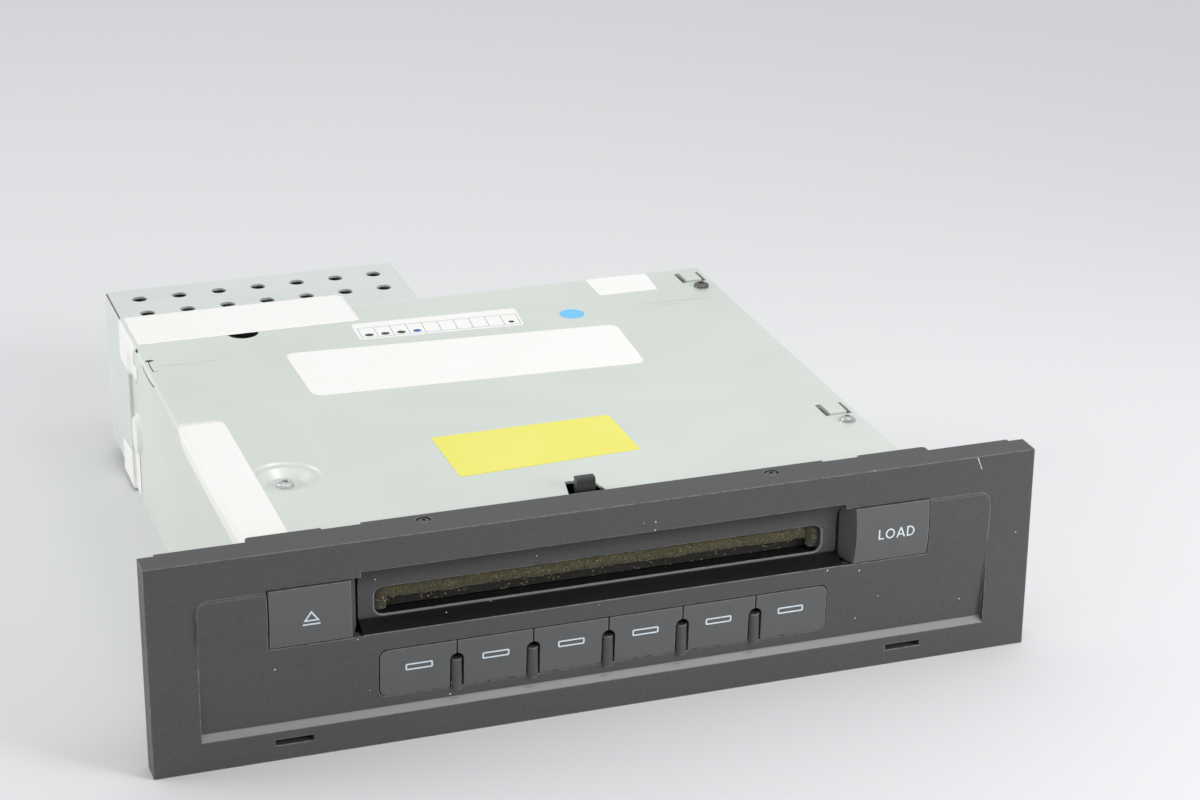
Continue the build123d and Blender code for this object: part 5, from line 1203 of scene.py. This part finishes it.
class CHANGER_OT_stickers(bpy.types.Operator):
    """Lay the blank stickers and seals on the case"""
    bl_idname = "changer.stickers"
    bl_label = "Stickers"

    def execute(self, context):
        look = context.scene.changer_stickers
        stock = {"paper": paper("white_sticker", look.paper_colour, crease=0.8),
                 "yellow": paper("yellow_sticker", look.yellow_colour, roughness=0.4)}
        for name, corners, radius, kind in STICKERS:
            sheet_on_cover(name, rounded_outline(corners, radius), look.thickness, stock[kind])
        self.rule_strip(look.thickness)
        dot = [(PAINT_DOT[0] + PAINT_DOT_RADIUS * math.cos(a), PAINT_DOT[1] + PAINT_DOT_RADIUS * math.sin(a))
               for a in (2 * math.pi * i / DOT_STEPS for i in range(DOT_STEPS))]
        sheet_on_cover("paint_dot", dot, look.thickness * 0.6, paper("blue_paint", look.dot_colour))
        self.side_label(stock["paper"], look.thickness)
        start = (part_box("top_cover")[0].y - FRONT) / MM + SEAL_START
        roof, side, *rest = FRONT_SEAL
        self.fold_seal("seal_front", stock["paper"], look.thickness, (start, roof), (start, side), *rest)
        self.fold_seal("seal_rear", stock["paper"], look.thickness, *REAR_SEAL)
        return {"FINISHED"}

    @staticmethod
    def side_label(material, thickness):
        """Label low on the left side, across the joint of cage and chassis."""
        trees = surface_of("rear_cage", "chassis")
        vertices = []
        for depth, low, high in SIDE_LABEL:
            for row in range(LABEL_ROWS + 1):
                z = low + (high - low) * row / LABEL_ROWS
                hit = nearest_hit(trees, at(-130, depth, z), Vector((1, 0, 0)))
                # below the cage the label hangs free in the plane of the case's side
                place = hit if hit is not None else Vector((-CASE_HALF, FRONT + depth * MM, z * MM))
                vertices.append(place + Vector((-thickness, 0, 0)))
        label = new_object("sticker_side", vertices, grid_faces(len(SIDE_LABEL) - 1, LABEL_ROWS, flip=True),
                           material)
        thicken(label, thickness * 0.8, 0.0)

    @staticmethod
    def rule_strip(thickness):
        """Row of ruled boxes on the strip sticker, some of them dotted by hand."""
        grey = printed_ink("rule_ink", (0.36, 0.40, 0.54))
        pens = {"black": printed_ink("pen_black", (0.03, 0.03, 0.035)),
                "blue": printed_ink("pen_blue", (0.03, 0.10, 0.42))}
        near_left, near_right = (Vector(p) for p in RULE_NEAR)
        far_left, far_right = (Vector(p) for p in RULE_FAR)
        lift = thickness + RAISE
        lines = [(near_left, near_right), (far_left, far_right)]
        for index in range(RULE_BOXES + 1):
            share = index / RULE_BOXES
            lines.append((near_left.lerp(near_right, share), far_left.lerp(far_right, share)))
        vertices, faces = [], []
        for start, end in lines:
            side = (end - start).normalized().orthogonal() * RULE_WIDTH / 2
            first = len(vertices)
            vertices += [on_cover(p, lift) for p in (start + side, start - side, end - side, end + side)]
            faces.append((first, first + 1, first + 2, first + 3))
        new_object("strip_rules", vertices, faces, grey)
        for index, (box, pen) in enumerate(PEN_DOTS):
            share = (box + 0.5) / RULE_BOXES
            middle = near_left.lerp(near_right, share).lerp(far_left.lerp(far_right, share), 0.25)
            chance = random.Random(box)
            blot = []
            last = 0.75 if box == RULE_BOXES - 1 else 1.0  # the last dot is smaller
            for step in range(PEN_STEPS):
                angle = 2 * math.pi * step / PEN_STEPS
                reach = PEN_REACH * (1 + chance.uniform(-0.12, 0.12)) * last
                blot.append(middle + Vector((math.cos(angle) * reach * 1.15, math.sin(angle) * reach)))
            new_object(f"pen_dot_{index + 1}", [on_cover(p, lift) for p in blot], [tuple(range(PEN_STEPS))],
                       pens[pen])

    @staticmethod
    def fold_seal(name, material, thickness, roof, side, inner, outer, corner):
        """Seal that wraps the left fold, slightly rippled."""
        chance = random.Random(5)
        across, along = SEAL_ACROSS, SEAL_ALONG
        vertices = []
        for layer in (0.02 * MM, thickness):
            for i in range(across + 1):
                s = inner + (outer - inner) * i / across
                past = max(0.0, min(1.0, s / outer))
                first = roof[0] + (side[0] - roof[0]) * past
                last = roof[1] + (side[1] - roof[1]) * past
                trim = 0.0
                for inside in (s - inner, outer - s):
                    if inside < corner:
                        trim = max(trim, corner - math.sqrt(max(0.0, corner ** 2 - (corner - inside) ** 2)))
                for j in range(along + 1):
                    depth = first + trim + (last - first - 2 * trim) * j / along
                    ripple = 0.0
                    if layer == thickness:
                        ripple = 0.03 * MM * (math.sin(depth * 0.9 + s) + math.sin(s * 0.7))
                        ripple = max(0.0, ripple + chance.uniform(0, 0.01) * MM)
                    vertices.append(folded(s, depth, layer + ripple))
        row = along + 1
        layer_size = (across + 1) * row
        faces = grid_faces(across, along, flip=True)
        faces += [tuple(v + layer_size for v in face) for face in grid_faces(across, along)]
        rim = [i * row for i in range(across + 1)]
        rim += [across * row + j for j in range(1, along + 1)]
        rim += [i * row + along for i in range(across - 1, -1, -1)]
        rim += [j for j in range(along - 1, 0, -1)]
        for a, b in zip(rim, rim[1:] + rim[:1]):
            faces.append((a, b, b + layer_size, a + layer_size))
        new_object(name, vertices, faces, material, smooth=True)


# ---------------------------------------------------------------- mechanism
class CHANGER_OT_mechanism(bpy.types.Operator):
    """Finish the pieces inside the case"""
    bl_idname = "changer.mechanism"
    bl_label = "Mechanism"

    def execute(self, context):
        finishes = {
            "frame": zinc_sheet("frame_steel", (0.52, 0.53, 0.53), metal=0.9),
            "rubber": rubber("roller_rubber", (0.022, 0.022, 0.024)),
            "soft": rubber("damper_rubber", (0.07, 0.07, 0.09)),
            "shaft": bright_metal("ground_shaft", (0.62, 0.62, 0.63), roughness=0.16),
            "gear": moulded_plastic("acetal", (0.62, 0.61, 0.56), roughness=0.38, dust=0.0, edge_rub_and_highlight=0.1),
            "can": bright_metal("motor_can", (0.55, 0.55, 0.54), roughness=0.28, turned=300.0),
            "tray": moulded_plastic("tray_moulding", (0.030, 0.030, 0.033), roughness=0.42, dust=0.01,
                                    edge_rub_and_highlight=0.2),
            "black": moulded_plastic("black_part", (0.020, 0.020, 0.022), roughness=0.45, dust=0.0, edge_rub_and_highlight=0.2),
            "board": solder_board("green_board", (0.012, 0.085, 0.035)),
            "pins": bright_metal("gold_pins", (0.80, 0.62, 0.30), roughness=0.2),
            "lens": clear_lens("pickup_glass"),
        }
        groups = {
            "frame": ("mech_frame", "cam_slide_left", "cam_slide_right", "play_arm", "clamp_arm"),
            "rubber": ("feed_roller",),
            "soft": ("dampers",),
            "shaft": ("roller_shaft", "sync_shaft", "guide_rods", "sled_screw"),
            "gear": ("roller_gear", "idler_gear", "feed_pinion", "sync_gears", "lift_pinion"),
            "can": ("feed_motor", "lift_motor", "spindle_motor", "sled_motor"),
            "tray": ("store_frame",) + tuple(f"disc_tray_{i}" for i in range(1, 7)),
            "black": ("disc_guide", "turntable", "pickup_sled", "clamper", "tact_switches", "switch_board"),
            "board": ("main_board",),
            "pins": ("connector_pins",),
            "lens": ("pickup_lens",),
        }
        for finish, nodes in groups.items():
            for node in nodes:
                dress(node, finishes[finish])
        return {"FINISHED"}


# ---------------------------------------------------------------- stage
FLOOR_REACH = 6.0
SKY_COLOUR = (0.97, 0.985, 1.0, 1.0)
WHITE, WARM_WHITE = (1.0, 1.0, 1.0), (1.0, 0.995, 0.98)
LAMPS = (  # name, place, aim (m), width, height, share of the key power, colour, spread (degrees), glossy
    ("overhead", (0.0, -0.05, 1.6), (0, 0.05, 0.03), 2.2, 1.8, 0.42, WHITE, 180, True),
    ("edge_light", (0.42, -0.42, 1.2), (0, -0.1, 0.03), 0.36, 0.30, 0.11, WHITE, 180, True),
    ("right_front", (0.60, -0.62, 0.34), (0.16, -0.1, 0.04), 0.34, 0.26, 0.065, WHITE, 58, False),
    ("left_fill", (-1.2, 0.50, 0.4), (-0.1, 0.08, 0.04), 0.7, 0.7, 0.13, WARM_WHITE, 70, True),
)


def softbox(name, place, aim, width, height, power, colour, spread, glossy):
    """Rectangular area light that points at its aim; glossy off keeps it out of reflections."""
    light = bpy.data.lights.new(name, "AREA")
    light.shape = "RECTANGLE"
    light.size, light.size_y = width, height
    light.energy = power
    light.color = colour
    light.spread = math.radians(spread)
    lamp = bpy.data.objects.new(name, light)
    lamp.visible_glossy = glossy
    bpy.context.scene.collection.objects.link(lamp)
    lamp.location = place
    lamp.rotation_euler = (Vector(aim) - Vector(place)).to_track_quat("-Z", "Y").to_euler()


class CHANGER_OT_stage(bpy.types.Operator):
    """Set the floor, the lights and the camera"""
    bl_idname = "changer.stage"
    bl_label = "Stage"

    def execute(self, context):
        scene = context.scene
        look = scene.changer_stage
        corners = [(x, y, 0) for x, y in box_outline(-FLOOR_REACH, -FLOOR_REACH, FLOOR_REACH, FLOOR_REACH)]
        floor = new_object("studio_floor", corners, [(0, 1, 2, 3)],
                           studio_floor("studio_sheet", look.floor_colour), body=None)
        world = bpy.data.worlds.new("studio_world")
        scene.world = world
        world.use_nodes = True
        sky = world.node_tree.nodes["Background"]
        sky.inputs["Color"].default_value = SKY_COLOUR
        sky.inputs["Strength"].default_value = look.sky_strength
        for name, place, aim, width, height, share, colour, spread, glossy in LAMPS:
            softbox(name, place, aim, width, height, look.key_power * share, colour, spread, glossy)
        self.camera(scene)
        scene.view_settings.view_transform = "Standard"
        return {"FINISHED"}

    @staticmethod
    def camera(scene):
        """The camera that took the photograph."""
        lens = bpy.data.cameras.new("photo_camera")
        lens.lens = CAMERA_LENS
        lens.sensor_width = CAMERA_SENSOR
        lens.clip_start = 0.01
        camera = bpy.data.objects.new("photo_camera", lens)
        scene.collection.objects.link(camera)
        azimuth, elevation, roll = (math.radians(v) for v in (CAMERA_AZIMUTH, CAMERA_ELEVATION, CAMERA_ROLL))
        backward = Vector((math.sin(azimuth) * math.cos(elevation),
                           -math.cos(azimuth) * math.cos(elevation), math.sin(elevation)))
        level = Vector((math.cos(azimuth), math.sin(azimuth), 0))
        upright = level.cross(-backward)
        right = level * math.cos(roll) + upright * math.sin(roll)
        up = upright * math.cos(roll) - level * math.sin(roll)
        turn = Matrix((right, up, backward)).transposed().to_4x4()
        camera.matrix_world = Matrix.Translation(at(*CAMERA_PLACE)) @ turn
        scene.camera = camera


# ---------------------------------------------------------------- add-on frame
OPERATORS = (CHANGER_OT_panel, CHANGER_OT_marks, CHANGER_OT_felt, CHANGER_OT_case, CHANGER_OT_screws,
             CHANGER_OT_wear, CHANGER_OT_stickers, CHANGER_OT_mechanism, CHANGER_OT_stage)


class CHANGER_PT_sidebar(bpy.types.Panel):
    """Lists the steps that dress the changer"""
    bl_idname = "CHANGER_PT_sidebar"
    bl_label = "Disc changer"
    bl_space_type = "VIEW_3D"
    bl_region_type = "UI"
    bl_category = "Changer"

    def draw(self, context):
        for name, group in SETTINGS.items():
            box = self.layout.box()
            settings = getattr(context.scene, name)
            for key in group.__annotations__:
                box.prop(settings, key)
        for operator in OPERATORS:
            self.layout.operator(operator.bl_idname)


def register():
    for group in SETTINGS.values():
        bpy.utils.register_class(group)
    for name, group in SETTINGS.items():
        setattr(bpy.types.Scene, name, PointerProperty(type=group))
    for operator in OPERATORS:
        bpy.utils.register_class(operator)
    bpy.utils.register_class(CHANGER_PT_sidebar)


def unregister():
    bpy.utils.unregister_class(CHANGER_PT_sidebar)
    for operator in reversed(OPERATORS):
        bpy.utils.unregister_class(operator)
    for name, group in SETTINGS.items():
        delattr(bpy.types.Scene, name)
        bpy.utils.unregister_class(group)


def main():
    register()
    for step in (bpy.ops.changer.panel, bpy.ops.changer.marks, bpy.ops.changer.felt, bpy.ops.changer.case,
                 bpy.ops.changer.screws, bpy.ops.changer.wear, bpy.ops.changer.stickers,
                 bpy.ops.changer.mechanism, bpy.ops.changer.stage):
        step()


if __name__ == "__main__":
    main()
